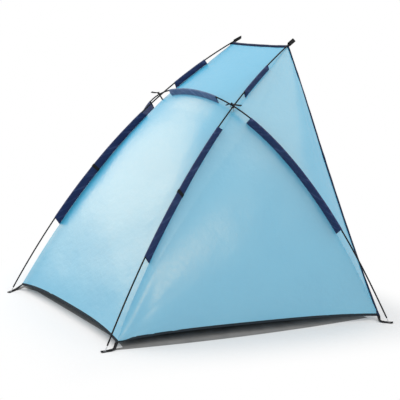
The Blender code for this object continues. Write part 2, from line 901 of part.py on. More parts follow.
def build_pocket(name, route, canopy, side, made_of):
    """A flat pocket of webbing in the plane of the side panel, closed at its far end."""
    ahead = route.end_direction()
    down = mirrored(canopy.front_corner - canopy.tip_corner, side)
    wide = unit(down - ahead * np.dot(down, ahead))
    thick = np.cross(ahead, wide)
    tip = route.knots[-1]
    mouth = tip - ahead * pocket_depth
    floor = tip + ahead * fit_gap
    end = tip + ahead * pocket_end_thickness
    stretch = np.array([wide * pocket_width / 2, thick * pocket_thickness / 2])
    bore = rod_diameter / 2 + pocket_gap
    outer = [circle(p, stretch[0], stretch[1], 1, pocket_sides) for p in (mouth, end)]
    inner = [circle(p, wide, thick, bore, pocket_sides) for p in (mouth, floor)]
    bm = bmesh.new()
    outer = [ring_of(bm, r) for r in outer]
    inner = [ring_of(bm, r) for r in inner]
    wall(bm, outer[0], outer[1])
    wall(bm, inner[0], inner[1])
    wall(bm, outer[0], inner[0])
    bm.faces.new(outer[1])
    bm.faces.new(inner[1])
    piece = add_object(name, bm, made_of, round_piece=True)
    set_origin(piece, mouth)
    return piece


# Ties round the crossings of the poles


def add_knot(bm, centre, length, width, height):
    """A rounded lump with its three half axes given as vectors."""
    rings = []
    for turn in KNOT_TURNS:
        a = math.radians(turn)
        middle = centre + length * math.sin(a)
        rings.append(circle(middle, width * math.cos(a), height * math.cos(a), 1, 2 * tie_sides))
    add_sweep(bm, rings)


def join(piece, parts):
    """Joins further solids to a piece, so that they are one body."""
    for bm in parts:
        part = add_object("part_of_tie", bm, piece.data.materials[0])
        modifier = piece.modifiers.new("join", "BOOLEAN")
        modifier.operation = "UNION"
        modifier.solver = "EXACT"
        modifier.object = part
        graph = bpy.context.evaluated_depsgraph_get()
        joined = bpy.data.meshes.new_from_object(piece.evaluated_get(graph))
        piece.modifiers.clear()
        piece.data = joined
        bpy.data.objects.remove(part, do_unlink=True)


def build_tie(name, canopy, crossing_at, side, made_of):
    """A cord round both poles, with its knot and tails outside, held to the canopy's seam."""
    rear, arch = canopy.rear, canopy.arch
    below = rear.point(rear.at(crossing_share))
    above = arch.point(arch.at(crossing_at))
    centre = (below + above) / 2
    up = unit(above - below)
    one = unit(np.cross(rear.sideways, rear.outward(rear.at(crossing_share))))
    two = unit(np.cross(arch.sideways, arch.outward(arch.at(crossing_at))))
    two *= math.copysign(1, np.dot(one, two))
    through = unit(one + two)
    through = unit(through - up * np.dot(through, up))
    across = np.cross(up, through)
    cord = tie_cord_diameter / 2
    loop = rod_diameter + fit_gap + tie_loop_gap + cord
    main = bmesh.new()
    rings = []
    for turn in LOOP_TURNS:
        a = math.radians(turn)
        outward = up * math.cos(a) + across * math.sin(a)
        rings.append(circle(centre + outward * loop, outward, through, cord, tie_sides))
    loops = [ring_of(main, r) for r in rings]
    for first, second in zip(loops, loops[1:] + loops[:1]):
        wall(main, first, second)
    half = [tie_knot_length / 2, tie_knot_width / 2, tie_knot_height / 2]
    knot = centre + up * (loop - cord + fit_gap + half[2])
    level = unit(np.cross([0, 0, 1], up))
    ahead = unit(np.cross(level, up))
    level = np.cross(up, ahead)
    parts = [bmesh.new() for _ in range(4)]
    add_knot(parts[0], knot, level * half[0], ahead * half[1], up * half[2])
    for part, sign in zip(parts[1:3], (-1, 1)):
        add_tail(part, knot + level * sign * half[0] / 2, level * sign, ahead, up)
    add_stem(parts[3], centre - up * loop, canopy.meeting, through)
    for bm in [main] + parts:
        for vertex in bm.verts:
            vertex.co.x *= side
    piece = add_object(name, main, made_of)
    join(piece, parts)
    return piece


def add_tail(bm, start, direction, across, up):
    """A loose end of tape that stands off the poles towards its tip."""
    rings = []
    for share in (0, 0.5, 1):
        middle = start + direction * tie_tail_length * share + up * tie_tail_rise * share
        wide = across * tie_tail_width / 2
        thick = unit(np.cross(direction, across)) * tie_tail_thickness / 2
        rings.append([middle - wide - thick, middle + wide - thick])
        rings[-1] += [middle + wide + thick, middle - wide + thick]
    add_sweep(bm, rings)


def add_stem(bm, start, seam_point, across):
    """The tape between the loop and the canopy."""
    away = unit(start - seam_point)
    end = seam_point + away * (cloth_thickness + seam_gap + fit_gap)
    wide = unit(across - away * np.dot(across, away)) * tie_tail_width / 2
    thick = np.cross(away, unit(wide)) * tie_tail_thickness / 2
    rings = []
    for middle in (start, end):
        rings.append([middle - wide - thick, middle + wide - thick])
        rings[-1] += [middle + wide + thick, middle - wide + thick]
    add_sweep(bm, rings)


# Groundsheet


def build_groundsheet(canopy, made_of):
    """A flat sheet on the ground, with a tongue at each rear corner that reaches the tab's end."""
    towards = tab_direction(canopy.rear, canopy.rear_corner, rear_tab_turn)
    back = eyelet_place(canopy.rear) + towards * (tab_inner_reach + fit_gap)
    front = np.array([sheet_front_spacing / 2, sheet_front_setback, 0])
    bulge = np.array([sheet_side_bulge, 0, 0])
    side = [(back * (1 - t) + front * t) + bulge * 4 * t * (1 - t) for t in (0, 0.25, 0.5, 0.75, 1)]
    pulled = np.array([back[0] * sheet_back_corner_share, back[1] - sheet_back_pull, 0])
    tongue = back + np.array([towards[1], -towards[0], 0]) * sheet_tongue_width
    half = [pulled, tongue + towards * sheet_tongue_length, tongue, *side]
    points = half + [mirrored(p, LEFT) for p in half[::-1]]
    up = np.array([0, 0, sheet_thickness])
    bm = bmesh.new()
    add_sweep(bm, [points, [p + up for p in points]])
    return add_object("groundsheet", bm, made_of)


# The whole tent


def build_poles(rear, arch, fibre, steel, elastic):
    words = ("lower", "middle", "upper")
    for word, side in SIDES:
        route = rear.mirrored(side)
        names = [f"rear_pole_{word}_{part}" for part in words]
        build_pole(names, route, rear_pole_sections, fibre)
        build_shock_cord(f"shock_cord_rear_{word}", route, elastic)
        build_spigots(f"rear_{word}", route, rear_pole_sections, steel)
        build_pin(f"foot_pin_rear_{word}", route, steel)
        build_pin(f"foot_pin_front_{word}", arch.mirrored(side), steel)
    parts = ("right_leg", "right_shoulder", "crown", "left_shoulder", "left_leg")
    build_pole([f"arch_pole_{part}" for part in parts], arch, arch_pole_sections, fibre)
    build_shock_cord("shock_cord_arch", arch, elastic)
    build_spigots("arch", arch, arch_pole_sections, steel)


def build_sleeves(canopy, navy, webbing):
    for word, side in SIDES:
        seam = canopy.rear_seam
        build_sleeve(f"rear_sleeve_{word}", seam, rear_sleeve_shares, side, navy)
        build_sleeve(f"upper_sleeve_{word}", seam, upper_sleeve_shares, side, navy)
        build_sleeve(f"arch_sleeve_{word}", canopy.arch_seam, arch_sleeve_shares, side, navy)
        build_band(f"sleeve_band_{word}", seam, side, webbing)
    build_sleeve("arch_sleeve_top", canopy.arch_seam, top_sleeve_shares, RIGHT, navy)


def build_corners(canopy, webbing, steel):
    rear, arch = canopy.rear, canopy.arch
    for word, side in SIDES:
        place = f"rear_{word}"
        build_corner(place, rear, canopy.rear_corner, rear_tab_turn, side, webbing, steel)
        place = f"front_{word}"
        build_corner(place, arch, canopy.front_corner, front_tab_turn, side, webbing, steel)
        build_pocket(f"tip_pocket_{word}", rear.mirrored(side), canopy, side, webbing)


def stand_on_centre():
    """Moves the tent so that the middle of its depth is at the origin."""
    stand = bpy.data.objects.new("stand", None)
    pieces = list(bpy.context.collection.objects)
    bpy.context.collection.objects.link(stand)
    depths = [p.location.y + v.co.y for p in pieces for v in p.data.vertices]
    stand.location.y = -(min(depths) + max(depths)) / 2
    for piece in pieces:
        piece.parent = stand


def main():
    remove_everything()
    cloth = material("light_blue_cloth", (0.30, 0.60, 0.78), 0.45)
    navy = material("navy_cloth", (0.02, 0.04, 0.13), 0.6)
    tape = material("dark_grey_tape", (0.05, 0.08, 0.10), 0.7)
    webbing = material("black_webbing", (0.012, 0.012, 0.014), 0.75)
    fibre = material("black_fibreglass", (0.015, 0.015, 0.016), 0.35)
    steel = material("bright_steel", (0.62, 0.63, 0.65), 0.3, 1)
    elastic = material("white_elastic", (0.75, 0.75, 0.73), 0.8)
    sheet = material("grey_groundsheet", (0.08, 0.085, 0.09), 0.6)
    rear = rear_pole_route()
    arch, crossing_at = arch_route(rear)
    canopy = Canopy(rear, arch, crossing_at)
    build_poles(rear, arch, fibre, steel, elastic)
    build_panels(canopy, cloth)
    build_bindings(canopy, tape, navy)
    build_sleeves(canopy, navy, webbing)
    build_corners(canopy, webbing, steel)
    for word, side in SIDES:
        build_tie(f"crossing_tie_{word}", canopy, crossing_at, side, webbing)
    build_groundsheet(canopy, sheet)
    stand_on_centre()


main()
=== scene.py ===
"""A beach tent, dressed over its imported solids: cloth, webbing, cords, poles and a pale studio.

Metres, +Z up. X runs across the tent and its open front looks along -Y. The pieces named left
are at -X. Depths are first measured from the line between the front feet, as in the part, and
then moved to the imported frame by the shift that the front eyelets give.
"""

import math

import bmesh
import bpy
import numpy as np
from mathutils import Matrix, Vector


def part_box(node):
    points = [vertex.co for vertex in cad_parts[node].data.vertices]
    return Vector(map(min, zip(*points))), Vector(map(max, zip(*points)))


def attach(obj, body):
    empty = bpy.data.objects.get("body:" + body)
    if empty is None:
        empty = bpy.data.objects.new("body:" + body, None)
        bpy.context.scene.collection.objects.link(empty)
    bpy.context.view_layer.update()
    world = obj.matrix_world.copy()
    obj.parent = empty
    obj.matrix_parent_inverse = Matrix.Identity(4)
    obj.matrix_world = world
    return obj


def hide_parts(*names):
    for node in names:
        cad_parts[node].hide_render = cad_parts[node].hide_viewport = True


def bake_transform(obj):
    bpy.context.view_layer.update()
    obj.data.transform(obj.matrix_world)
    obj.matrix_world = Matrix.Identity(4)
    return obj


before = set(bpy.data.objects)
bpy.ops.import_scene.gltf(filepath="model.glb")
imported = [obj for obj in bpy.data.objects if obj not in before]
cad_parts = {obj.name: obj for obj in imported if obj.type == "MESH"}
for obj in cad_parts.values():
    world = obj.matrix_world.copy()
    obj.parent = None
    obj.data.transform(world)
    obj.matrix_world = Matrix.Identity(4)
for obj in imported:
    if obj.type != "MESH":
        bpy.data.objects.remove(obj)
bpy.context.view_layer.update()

LEFT, RIGHT = -1, 1
SIDES = (("left", LEFT), ("right", RIGHT))

# The tent's outline, as in the part
front_feet_spacing = 2.0
rear_feet_spacing = 0.886
feet_depth = 1.168
tip_spacing = 0.402
tip_overhang = 0.148
tip_height = 1.228
rear_pole_lift_low = 0.165
rear_pole_lift_high = 0.198
arch_crown_rise = 0.056
arch_shoulder_out_share = 0.766
arch_shoulder_up_share = 0.436
rear_corner_share = 0.030
rear_sleeve_shares = (0.235, 0.617)
rear_band_share = 0.414
crossing_share = 0.691
upper_sleeve_shares = (0.749, 0.864)
tip_corner_share = 0.969
front_corner_share = 0.012
arch_sleeve_shares = (0.156, 0.367)
top_sleeve_shares = (0.441, 0.559)
rear_seam_drop = 0.040
crossing_drop = 0.030
upper_seam_drop = 0.025
tip_seam_drop = 0.006
foot_seam_drop = 0.047
arch_seam_drop = 0.048
crown_seam_drop = 0.030
meeting_reach = 0.11
rear_corner_out = 0.008
back_hem_rise = 0.022
back_hem_pull = 0.020
side_hem_rise = 0.016
side_hem_pull = 0.016
front_edge_pull = 0.015
roof_edge_sag = 0.004
roof_edge_pull = 0.005

# Poles and pins, as in the part
rod_diameter = 0.007
rod_gap = 0.0003
rear_pole_sections = 3
arch_pole_sections = 5
pin_diameter = 0.0034
pin_reach = 0.026
pin_shank = 0.025
collar_length = 0.0012
collar_radius = 0.00294

# Corner webbing, as in the part
tab_width = 0.020
tab_inner_reach = 0.031
tab_outer_reach = 0.018
tab_height = 0.0014
tab_wave_width = 0.012
tab_wave_height = 0.0003
rear_tab_turn = 20
front_tab_turn = -30
strap_width = 0.018
pocket_width = 0.021
pocket_thickness = 0.0104
pocket_depth = 0.045
pocket_end = 0.005
webbing_thickness = 0.0012
thin_webbing_thickness = 0.0011
tongue_overlap = 0.012
tongue_half_width_share = 0.36
tongue_rod_gap = 0.0016
strap_overlap = 0.012
strap_inner_end = 0.010
strap_under_corner = 0.0012

# Groundsheet, as in the part but for its tongues, which the photograph shows shorter
sheet_front_spacing = 1.80
sheet_front_setback = 0.03
sheet_side_bulge = 0.030
sheet_back_pull = 0.075
sheet_back_corner_share = 0.8
sheet_tongue_length = 0.05
sheet_tongue_width = 0.012
sheet_front_bow = 0.012
sheet_rest_height = 0.0004
# Its waves, each with its width and height, and the one that runs in from the rim
sheet_broad_wave = (0.17, 0.006)
sheet_small_wave = (0.05, 0.0015)
sheet_rim_wave = (0.06, 0.002)

# Eyelets
eyelet_hole_radius = 0.0033
eyelet_flange_radius = 0.00725
eyelet_flange_roll = 0.0006
eyelet_flange_height = 0.0021
eyelet_barrel_radius = 0.0041
tab_hole_radius = 0.0039

# Ties: the cord's wraps, the knot, and two tails that lie level, each with its side, length,
# rise, drift and turn in degrees
tie_cord_radius = 0.0014
knot_cord_radius = 0.0017
knot_size = 0.0019
knot_lift = 0.0045
knot_stretch = (1.15, 0.95, 1.25)
tie_loop_slack = 0.0024
tie_wrap_squeeze = 0.04
tail_start = 0.003
tail_half_widths = (0.0026, 0.0050, 0.0056)
inner_tape_half_width = 0.0038
tie_tails = ((-1, 0.064, -0.004, 0.002, -2), (1, 0.027, 0.001, -0.002, -32))
tape_half_thickness = 0.0009

# Cloth and the tapes over its free edges, each tape with its width, thickness and roll
cloth_thickness = 0.0004
hem_tape_sizes = (0.010, 0.0018, 0.0040)
mouth_tape_sizes = (0.013, 0.0024, 0.0115)
sleeve_seam_half = 0.0003
sleeve_slack = 0.0010
sleeve_fine_pucker = 0.016
sleeve_broad_pucker = 0.045
sleeve_wobble = 0.05
sleeve_wobble_width = 0.03
band_half_length = 0.008
band_lift = 0.0014

# The camera that the photograph was fitted to, in the tent's own depths
camera_azimuth = 231.032
camera_elevation = 14.405
camera_place = (-3.0023, 2.7271, 1.4178)
camera_lens = 69.56
camera_sensor = 36.0

# Studio: the even light from all round, and the soft boxes, each with its power in watts, its
# size, and its direction and distance from the tent's middle
ambient_strength = 0.915
key_power = 47
key_size = 2.6
fill_power = 34
fill_size = 3.8
near_power = 23
near_size = 2.0
key_place = ((0.75, 0.32, 0.58), 3.2)
fill_place = ((-0.28, -0.44, 0.85), 3.6)
near_place = ((-0.74, 0.48, 0.47), 4.8)
lamps_depth = 0.75
lamps_height = 0.55
floor_size = 60
floor_fade = 0.36

# Slack in the panels: waves with their widths, and puckers that run in from the seams
broad_wave_width = 0.23
small_wave_width = 0.09
small_wave_share = 0.25
pucker_width = 0.022
pucker_height = 0.0009
pucker_reach = 0.03
# Folds beside a seam, each with its distance, width, height and reach
rear_seam_folds = ((0.036, 0.024, -0.0065, 0.36), (0.088, 0.028, 0.003, 0.36))
# Folds that fan out from a corner, each with its place across, width, slope and reach
rear_folds = ((0.45, 0.05, 0.10, 0.30), (0.75, 0.05, 0.08, 0.25))
front_folds = (
    (0.45, 0.05, 0.06, 0.30),
    (0.69, 0.045, -0.25, 0.45),
    (0.755, 0.022, 0.30, 0.38),
    (0.90, 0.030, 0.35, 0.60),
)

# How finely the pieces are made, and from how many degrees an edge is sharp
route_step = 0.010
cloth_step = 0.011
rod_sides = 16
pin_sides = 20
tab_sides = 64
eyelet_sides = 40
pocket_sides = 36
cord_sides = 10
sleeve_step = 0.007
cloth_crease = 50
tape_crease = 60
pin_crease = 35
random_seed = 7


# Directions and curves


def unit(vector):
    vector = np.asarray(vector, float)
    return vector / np.linalg.norm(vector, axis=-1, keepdims=True)


def mirrored(points, side):
    return np.asarray(points, float) * np.array([side, 1, 1])


def distances(points):
    steps = np.linalg.norm(np.diff(points, axis=0), axis=1)
    return np.concatenate(([0], np.cumsum(steps)))


def read(places, known, points):
    """Points at the given places, by the known place of each point of a line."""
    return np.stack([np.interp(places, known, points[:, i]) for i in range(3)], axis=-1)


def along(points, shares):
    """Points of a line at the given shares of its length."""
    have = distances(points)
    return read(np.asarray(shares) * have[-1], have, points)


def bezier(corners, count):
    """Points of the curve from the first corner to the last that leans towards the two between."""
    t = np.linspace(0, 1, count)[:, None]
    a, b, c, d = corners
    return (1 - t) ** 3 * a + 3 * (1 - t) ** 2 * t * b + 3 * (1 - t) * t**2 * c + t**3 * d


def spline(points, count):
    """Points of the smooth curve through the given points, as a sprung rod bends."""
    points = np.asarray(points, float)
    knots = distances(points)
    h = np.diff(knots)
    n = len(points)
    system = np.eye(n)
    load = np.zeros((n, 3))
    for i in range(1, n - 1):
        system[i, i - 1 : i + 2] = h[i - 1], 2 * (h[i - 1] + h[i]), h[i]
        load[i] = 6 * ((points[i + 1] - points[i]) / h[i] - (points[i] - points[i - 1]) / h[i - 1])
    bend = np.linalg.solve(system, load)
    t = np.linspace(0, knots[-1], count)
    i = np.clip(np.searchsorted(knots, t) - 1, 0, n - 2)
    left = (t - knots[i])[:, None]
    right = (knots[i + 1] - t)[:, None]
    span = h[i][:, None]
    cubic = (bend[i] * right**3 + bend[i + 1] * left**3) / (6 * span)
    start = (points[i] / span - bend[i] * span / 6) * right
    end = (points[i + 1] / span - bend[i + 1] * span / 6) * left
    return cubic + start + end


def noise(x, y, size, seed):
    """Smooth random heights from -1 to 1 over a plane, whose bumps are about the given size."""
    random = np.random.RandomState(random_seed + seed)
    table = random.uniform(-1, 1, (64, 64))
    x, y = np.broadcast_arrays(np.asarray(x, float) / size, np.asarray(y, float) / size)
    i, j = np.floor(x).astype(int), np.floor(y).astype(int)
    fx, fy = x - i, y - j
    fx, fy = fx * fx * (3 - 2 * fx), fy * fy * (3 - 2 * fy)
    a, b = table[i % 64, j % 64], table[(i + 1) % 64, j % 64]
    c, d = table[i % 64, (j + 1) % 64], table[(i + 1) % 64, (j + 1) % 64]
    return (a * (1 - fx) + b * fx) * (1 - fy) + (c * (1 - fx) + d * fx) * fy


class Route:
    """A pole's centre line, with the direction that points away from the tent's inside."""

    def __init__(self, curve, sideways, end_inset):
        total = distances(curve)[-1]
        self.length = total
        self.end_inset = end_inset
        self.places = np.linspace(0, total, round(total / route_step) + 1)
        self.points = along(curve, self.places / total)
        self.sideways = unit(sideways)
        self.tangents = unit(np.gradient(self.points, axis=0))
        self.outwards = unit(np.cross(self.tangents, self.sideways))

    def point(self, place):
        return read(place, self.places, self.points)

    def outward(self, place):
        return unit(read(place, self.places, self.outwards))

    def tangent(self, place):
        return unit(read(place, self.places, self.tangents))

    def at(self, share):
        return share * self.length


def rear_pole_route():
    foot = np.array([rear_feet_spacing / 2, feet_depth, 0])
    tip = np.array([tip_spacing / 2, -tip_overhang, tip_height])
    chord = tip - foot
    across = np.cross(chord, [0, 0, 1])
    lift = unit(np.cross(across, chord))
    low = foot + chord / 3 + lift * rear_pole_lift_low
    high = foot + chord * 2 / 3 + lift * rear_pole_lift_high
    return Route(bezier((foot, low, high, tip), 1201), -across, 0)


def arch_route(rear):
    foot = np.array([front_feet_spacing / 2, 0, 0])
    under = rear.point(rear.at(crossing_share))
    crown = np.array([0, 0, under[2] + arch_crown_rise])
    over = crown - under * np.array([1, 0, 1])
    run = np.cross(rear.sideways, rear.outward(rear.at(crossing_share)))
    up = unit(np.cross(unit([over[0], 0, over[2]]), run))
    up *= math.copysign(1, up[2])
    crossing = under + up * (rod_diameter + rod_gap)
    crown[1] = crown[2] * crossing[1] / crossing[2]
    shoulder = crossing * arch_shoulder_up_share
    shoulder[0] = crossing[0] + (foot[0] - crossing[0]) * arch_shoulder_out_share
    half = [foot, shoulder, crossing, crown]
    curve = spline(half + [mirrored(p, LEFT) for p in half[-2::-1]], 1201)
    nearest = np.argmin(np.linalg.norm(curve - crossing, axis=1))
    crossing_at = distances(curve)[nearest] / distances(curve)[-1]
    return Route(curve, [0, -crossing[2], crossing[1]], pin_reach), crossing_at


class Seam:
    """The line where two panels and a sleeve are sewn together."""

    def __init__(self, route, shares, drops):
        self.route = route
        self.shares = shares
        self.drops = drops
        self.pulls = []

    def plain(self, place):
        drop = np.interp(np.asarray(place) / self.route.length, self.shares, self.drops)
        return self.route.point(place) - self.route.outward(place) * np.expand_dims(drop, -1)

    def pull_to(self, place, target):
        self.pulls.append((place, target - self.plain(place)))

    def point(self, place):
        result = self.plain(place)
        for middle, shift in self.pulls:
            off = np.minimum(np.abs(np.asarray(place) - middle) / meeting_reach, 1)
            result = result + np.expand_dims((1 + np.cos(math.pi * off)) / 2, -1) * shift
        return result

    def line(self, start, end):
        return self.point(np.linspace(start, end, 241))


def hem(start, end, shift, skew=False):
    """A free edge that is pulled aside by the given shift, most in its middle or near its end."""
    t = np.linspace(0, 1, 241)
    skewed_peak = 4 / 27
    shape = t**2 * (1 - t) / skewed_peak if skew else 1 - np.abs(2 * t - 1) ** 3
    return start + (end - start) * t[:, None] + shape[:, None] * shift


class Canopy:
    """The seams and free edges of the canopy's right half."""

    def __init__(self):
        self.rear = rear_pole_route()
        self.arch, self.crossing_at = arch_route(self.rear)
        rear, arch = self.rear, self.arch
        shares = (rear_corner_share, rear_band_share, crossing_share, upper_sleeve_shares[1])
        drops = (rear_seam_drop, rear_seam_drop, crossing_drop, upper_seam_drop, tip_seam_drop)
        self.rear_seam = Seam(rear, shares + (tip_corner_share,), drops)
        half = (front_corner_share, arch_sleeve_shares[1], self.crossing_at)
        shares = half + (0.5,) + tuple(1 - s for s in half[::-1])
        drops = (foot_seam_drop, arch_seam_drop, crossing_drop)
        self.arch_seam = Seam(arch, shares, drops + (crown_seam_drop,) + drops[::-1])
        rear_place, arch_place = rear.at(crossing_share), arch.at(self.crossing_at)
        self.meeting = (self.rear_seam.plain(rear_place) + self.arch_seam.plain(arch_place)) / 2
        self.rear_seam.pull_to(rear_place, self.meeting)
        corner = rear.at(rear_corner_share)
        out = np.array([rear_corner_out, 0, 0])
        self.rear_seam.pull_to(corner, self.rear_seam.plain(corner) + out)
        self.arch_seam.pull_to(arch_place, self.meeting)
        self.arch_seam.pull_to(arch.length - arch_place, mirrored(self.meeting, LEFT))
        self.low = self.rear_seam.line(corner, rear_place)
        self.high = self.rear_seam.line(rear_place, rear.at(tip_corner_share))[::-1]
        self.side = self.arch_seam.line(arch.at(front_corner_share), arch_place)[::-1]
        self.top = self.arch_seam.line(arch_place, arch.length - arch_place)
        self.rear_corner = self.low[0]
        self.front_corner = self.side[-1]
        self.tip_corner = self.high[0]
        up, back, inwards = np.array([[0, 0, 1.0], [0, 1.0, 0], [-1.0, 0, 0]])
        left_rear = mirrored(self.rear_corner, LEFT)
        left_tip = mirrored(self.tip_corner, LEFT)
        self.back_hem = hem(self.rear_corner, left_rear, up * back_hem_rise - back * back_hem_pull)
        shift = up * side_hem_rise + inwards * side_hem_pull
        self.side_hem = hem(self.rear_corner, self.front_corner, shift)
        self.front_edge = hem(self.tip_corner, self.front_corner, back * front_edge_pull, True)
        self.roof_edge = hem(self.tip_corner, left_tip, back * roof_edge_pull - up * roof_edge_sag)


tent = Canopy()


def start_direction(route):
    return unit(route.points[1] - route.points[0])


def eyelet_place(route):
    """The point on the ground under the middle of the eyelet, which is on the leaning pin."""
    direction = start_direction(route)
    return (route.points[0] + direction * tab_height / direction[2]) * np.array([1, 1, 0])


low_corner, high_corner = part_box("eyelet_front_right")
depth_shift = (low_corner.y + high_corner.y) / 2 - eyelet_place(tent.arch)[1]


def packed(points):
    """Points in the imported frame, from points in the tent's own depths."""
    return np.asarray(points, float) + np.array([0, depth_shift, 0])


# Pieces


def add_piece(name, points, faces, material, strip=None):
    """A mesh piece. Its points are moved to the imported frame, and strip says where they are on it."""
    points = packed(points).reshape(-1, 3)
    mesh = bpy.data.meshes.new(name)
    mesh.from_pydata(points.tolist(), [], faces)
    if strip is not None:
        attribute = mesh.attributes.new("strip", "FLOAT_VECTOR", "POINT")
        flat = np.zeros((len(points), 3), np.float32)
        flat[:, :2] = np.asarray(strip, float).reshape(-1, 2)
        attribute.data.foreach_set("vector", flat.ravel())
    mesh.shade_smooth()
    mesh.materials.append(material)
    piece = bpy.data.objects.new(name, mesh)
    bpy.context.collection.objects.link(piece)
    return piece


def grid_faces(rows, columns, closed=False):
    """Quads over a grid of points whose columns run fastest."""
    faces = []
    for i in range(rows - 1):
        for j in range(columns if closed else columns - 1):
            k = (j + 1) % columns
            faces.append((i * columns + j, (i + 1) * columns + j, (i + 1) * columns + k, i * columns + k))
    return faces


def tube_faces(rings, sides):
    """Faces over rings of points that follow each other, with a cap at each end."""
    faces = grid_faces(rings, sides, closed=True)
    faces.append(tuple(range(sides)))
    faces.append(tuple(reversed(range((rings - 1) * sides, rings * sides))))
    return faces


def thicken(piece, thickness, offset=0.0):
    """Gives a surface its thickness, with crisp edges all round."""
    solid = piece.modifiers.new("thickness", "SOLIDIFY")
    solid.thickness = thickness
    solid.offset = offset
    solid.use_even_offset = False
    graph = bpy.context.evaluated_depsgraph_get()
    mesh = bpy.data.meshes.new_from_object(piece.evaluated_get(graph))
    piece.modifiers.clear()
    piece.data = mesh
    mesh.set_sharp_from_angle(angle=math.radians(cloth_crease))


def mend(piece, merge=None, turn=False):
    """Merges points that lie closer than the given distance, and can turn all faces outwards."""
    bm = bmesh.new()
    bm.from_mesh(piece.data)
    if merge:
        bmesh.ops.remove_doubles(bm, verts=bm.verts, dist=merge)
    if turn:
        bmesh.ops.recalc_face_normals(bm, faces=bm.faces)
    bm.to_mesh(piece.data)
    bm.free()


def finish(piece, body, node):
    """Puts the piece on the body that it rides on and hides the solid that it stands for."""
    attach(piece, body)
    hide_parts(node)


def superellipse(turns, power):
    """How far a rounded rectangle's outline reaches at the given turns, with half sides of one."""
    return (np.abs(np.cos(turns)) ** power + np.abs(np.sin(turns)) ** power) ** (-1 / power)


def tube_mesh(path, radii, sides, across=None):
    """Points and faces of a capped tube along a path, which may be flattened in one direction."""
    path = np.asarray(path, float)
    tangents = unit(np.gradient(path, axis=0))
    guide = np.array([0.13, 0.31, 0.94]) if across is None else np.asarray(across, float)
    one = unit(guide - tangents * (tangents @ guide)[:, None])
    two = np.cross(tangents, one)
    radii = np.asarray(radii, float)
    wide = radii[:, 0] if radii.ndim == 2 else np.broadcast_to(radii, len(path))
    thick = radii[:, 1] if radii.ndim == 2 else wide
    turns = np.linspace(0, 2 * math.pi, sides, endpoint=False)
    rings = [p + np.cos(turns)[:, None] * a * w + np.sin(turns)[:, None] * b * t
             for p, a, b, w, t in zip(path, one, two, wide, thick)]
    places = np.repeat(distances(path), sides)
    rounds = np.tile(turns, len(path)) * np.repeat(wide, sides)
    return np.concatenate(rings), tube_faces(len(path), sides), np.stack([places, rounds], axis=1)


def join_meshes(parts):
    """One mesh from several, each given as points, faces and strip places."""
    points, faces, strips, count = [], [], [], 0
    for p, f, s in parts:
        points.append(p)
        strips.append(s)
        faces += [tuple(count + i for i in face) for face in f]
        count += len(p)
    return np.concatenate(points), faces, np.concatenate(strips)


# Materials


class Nodes:
    """Short ways to add nodes to a tree."""

    def __init__(self, tree):
        self.tree = tree

    def node(self, kind, inputs=(), **settings):
        made = self.tree.nodes.new(kind)
        for key, value in settings.items():
            setattr(made, key, value)
        for socket, value in dict(inputs).items():
            self.feed(made.inputs[socket], value)
        return made

    def feed(self, socket, value):
        if isinstance(value, bpy.types.NodeSocket):
            self.tree.links.new(value, socket)
        else:
            socket.default_value = value

    def math(self, operation, *values):
        made = self.node("ShaderNodeMath", operation=operation)
        for socket, value in zip(made.inputs, values):
            self.feed(socket, value)
        return made.outputs[0]

    def place(self):
        return self.node("ShaderNodeTexCoord").outputs["Object"]

    def strip(self):
        """How far along its strip a point is, and how far across it."""
        made = self.node("ShaderNodeAttribute", attribute_name="strip")
        split = self.node("ShaderNodeSeparateXYZ", {"Vector": made.outputs["Vector"]})
        return split.outputs["X"], split.outputs["Y"]

    def noise(self, scale, detail=2.0, roughness=0.5, vector=None):
        vector = self.place() if vector is None else vector
        inputs = {"Scale": scale, "Detail": detail, "Roughness": roughness, "Vector": vector}
        return self.node("ShaderNodeTexNoise", inputs).outputs["Fac"]

    def streaks(self, along_it, across_it, roughness):
        """Noise over a plane whose two directions are given, so that its bumps can be drawn out."""
        plane = self.node("ShaderNodeCombineXYZ", {"X": along_it, "Y": across_it}).outputs["Vector"]
        return self.noise(1.0, 3.0, roughness, plane)

    def mix(self, factor, one, two):
        inputs = {"Factor": factor, "A": one, "B": two}
        return self.node("ShaderNodeMix", inputs, data_type="RGBA").outputs["Result"]

    def spread(self, value, low, high, to_low, to_high):
        made = self.node("ShaderNodeMapRange")
        for socket, part in zip(made.inputs, (value, low, high, to_low, to_high)):
            self.feed(socket, part)
        return made.outputs[0]

    def bump(self, height, distance, strength=1.0, below=None):
        inputs = {"Height": height, "Distance": distance, "Strength": strength}
        if below is not None:
            inputs["Normal"] = below
        return self.node("ShaderNodeBump", inputs).outputs["Normal"]

    def stitches(self, rows, pitch=0.0042, width=0.0008, filled_share=0.7):
        """1 on the stitches of rows at the given distances across the strip, else 0."""
        along_it, across_it = self.strip()
        dash = self.math("LESS_THAN", self.math("FRACT", self.math("DIVIDE", along_it, pitch)), filled_share)
        total = 0.0
        for row in rows:
            off = self.math("ABSOLUTE", self.math("SUBTRACT", across_it, row))
            total = self.math("MAXIMUM", total, self.math("LESS_THAN", off, width / 2))
        return self.math("MULTIPLY", dash, total)

    def weave(self, pitch_along, pitch_across):
        """The over and under of a plain weave, read from the strip's own directions."""
        waves = [self.math("SINE", self.math("MULTIPLY", place, 2 * math.pi / pitch))
                 for place, pitch in zip(self.strip(), (pitch_along, pitch_across))]
        return self.math("MULTIPLY", *waves)


class Shader(Nodes):
    """A Principled material."""

    def __init__(self, name, **fixed):
        self.material = bpy.data.materials.new(name)
        self.material.use_nodes = True
        super().__init__(self.material.node_tree)
        self.principled = self.tree.nodes["Principled BSDF"]
        self.set(**fixed)

    def set(self, **sockets):
        """Feeds the material's own sockets, named with _ for each space."""
        for socket, value in sockets.items():
            self.feed(self.principled.inputs[socket.replace("_", " ")], value)


def colour(red, green, blue):
    return (red, green, blue, 1.0)


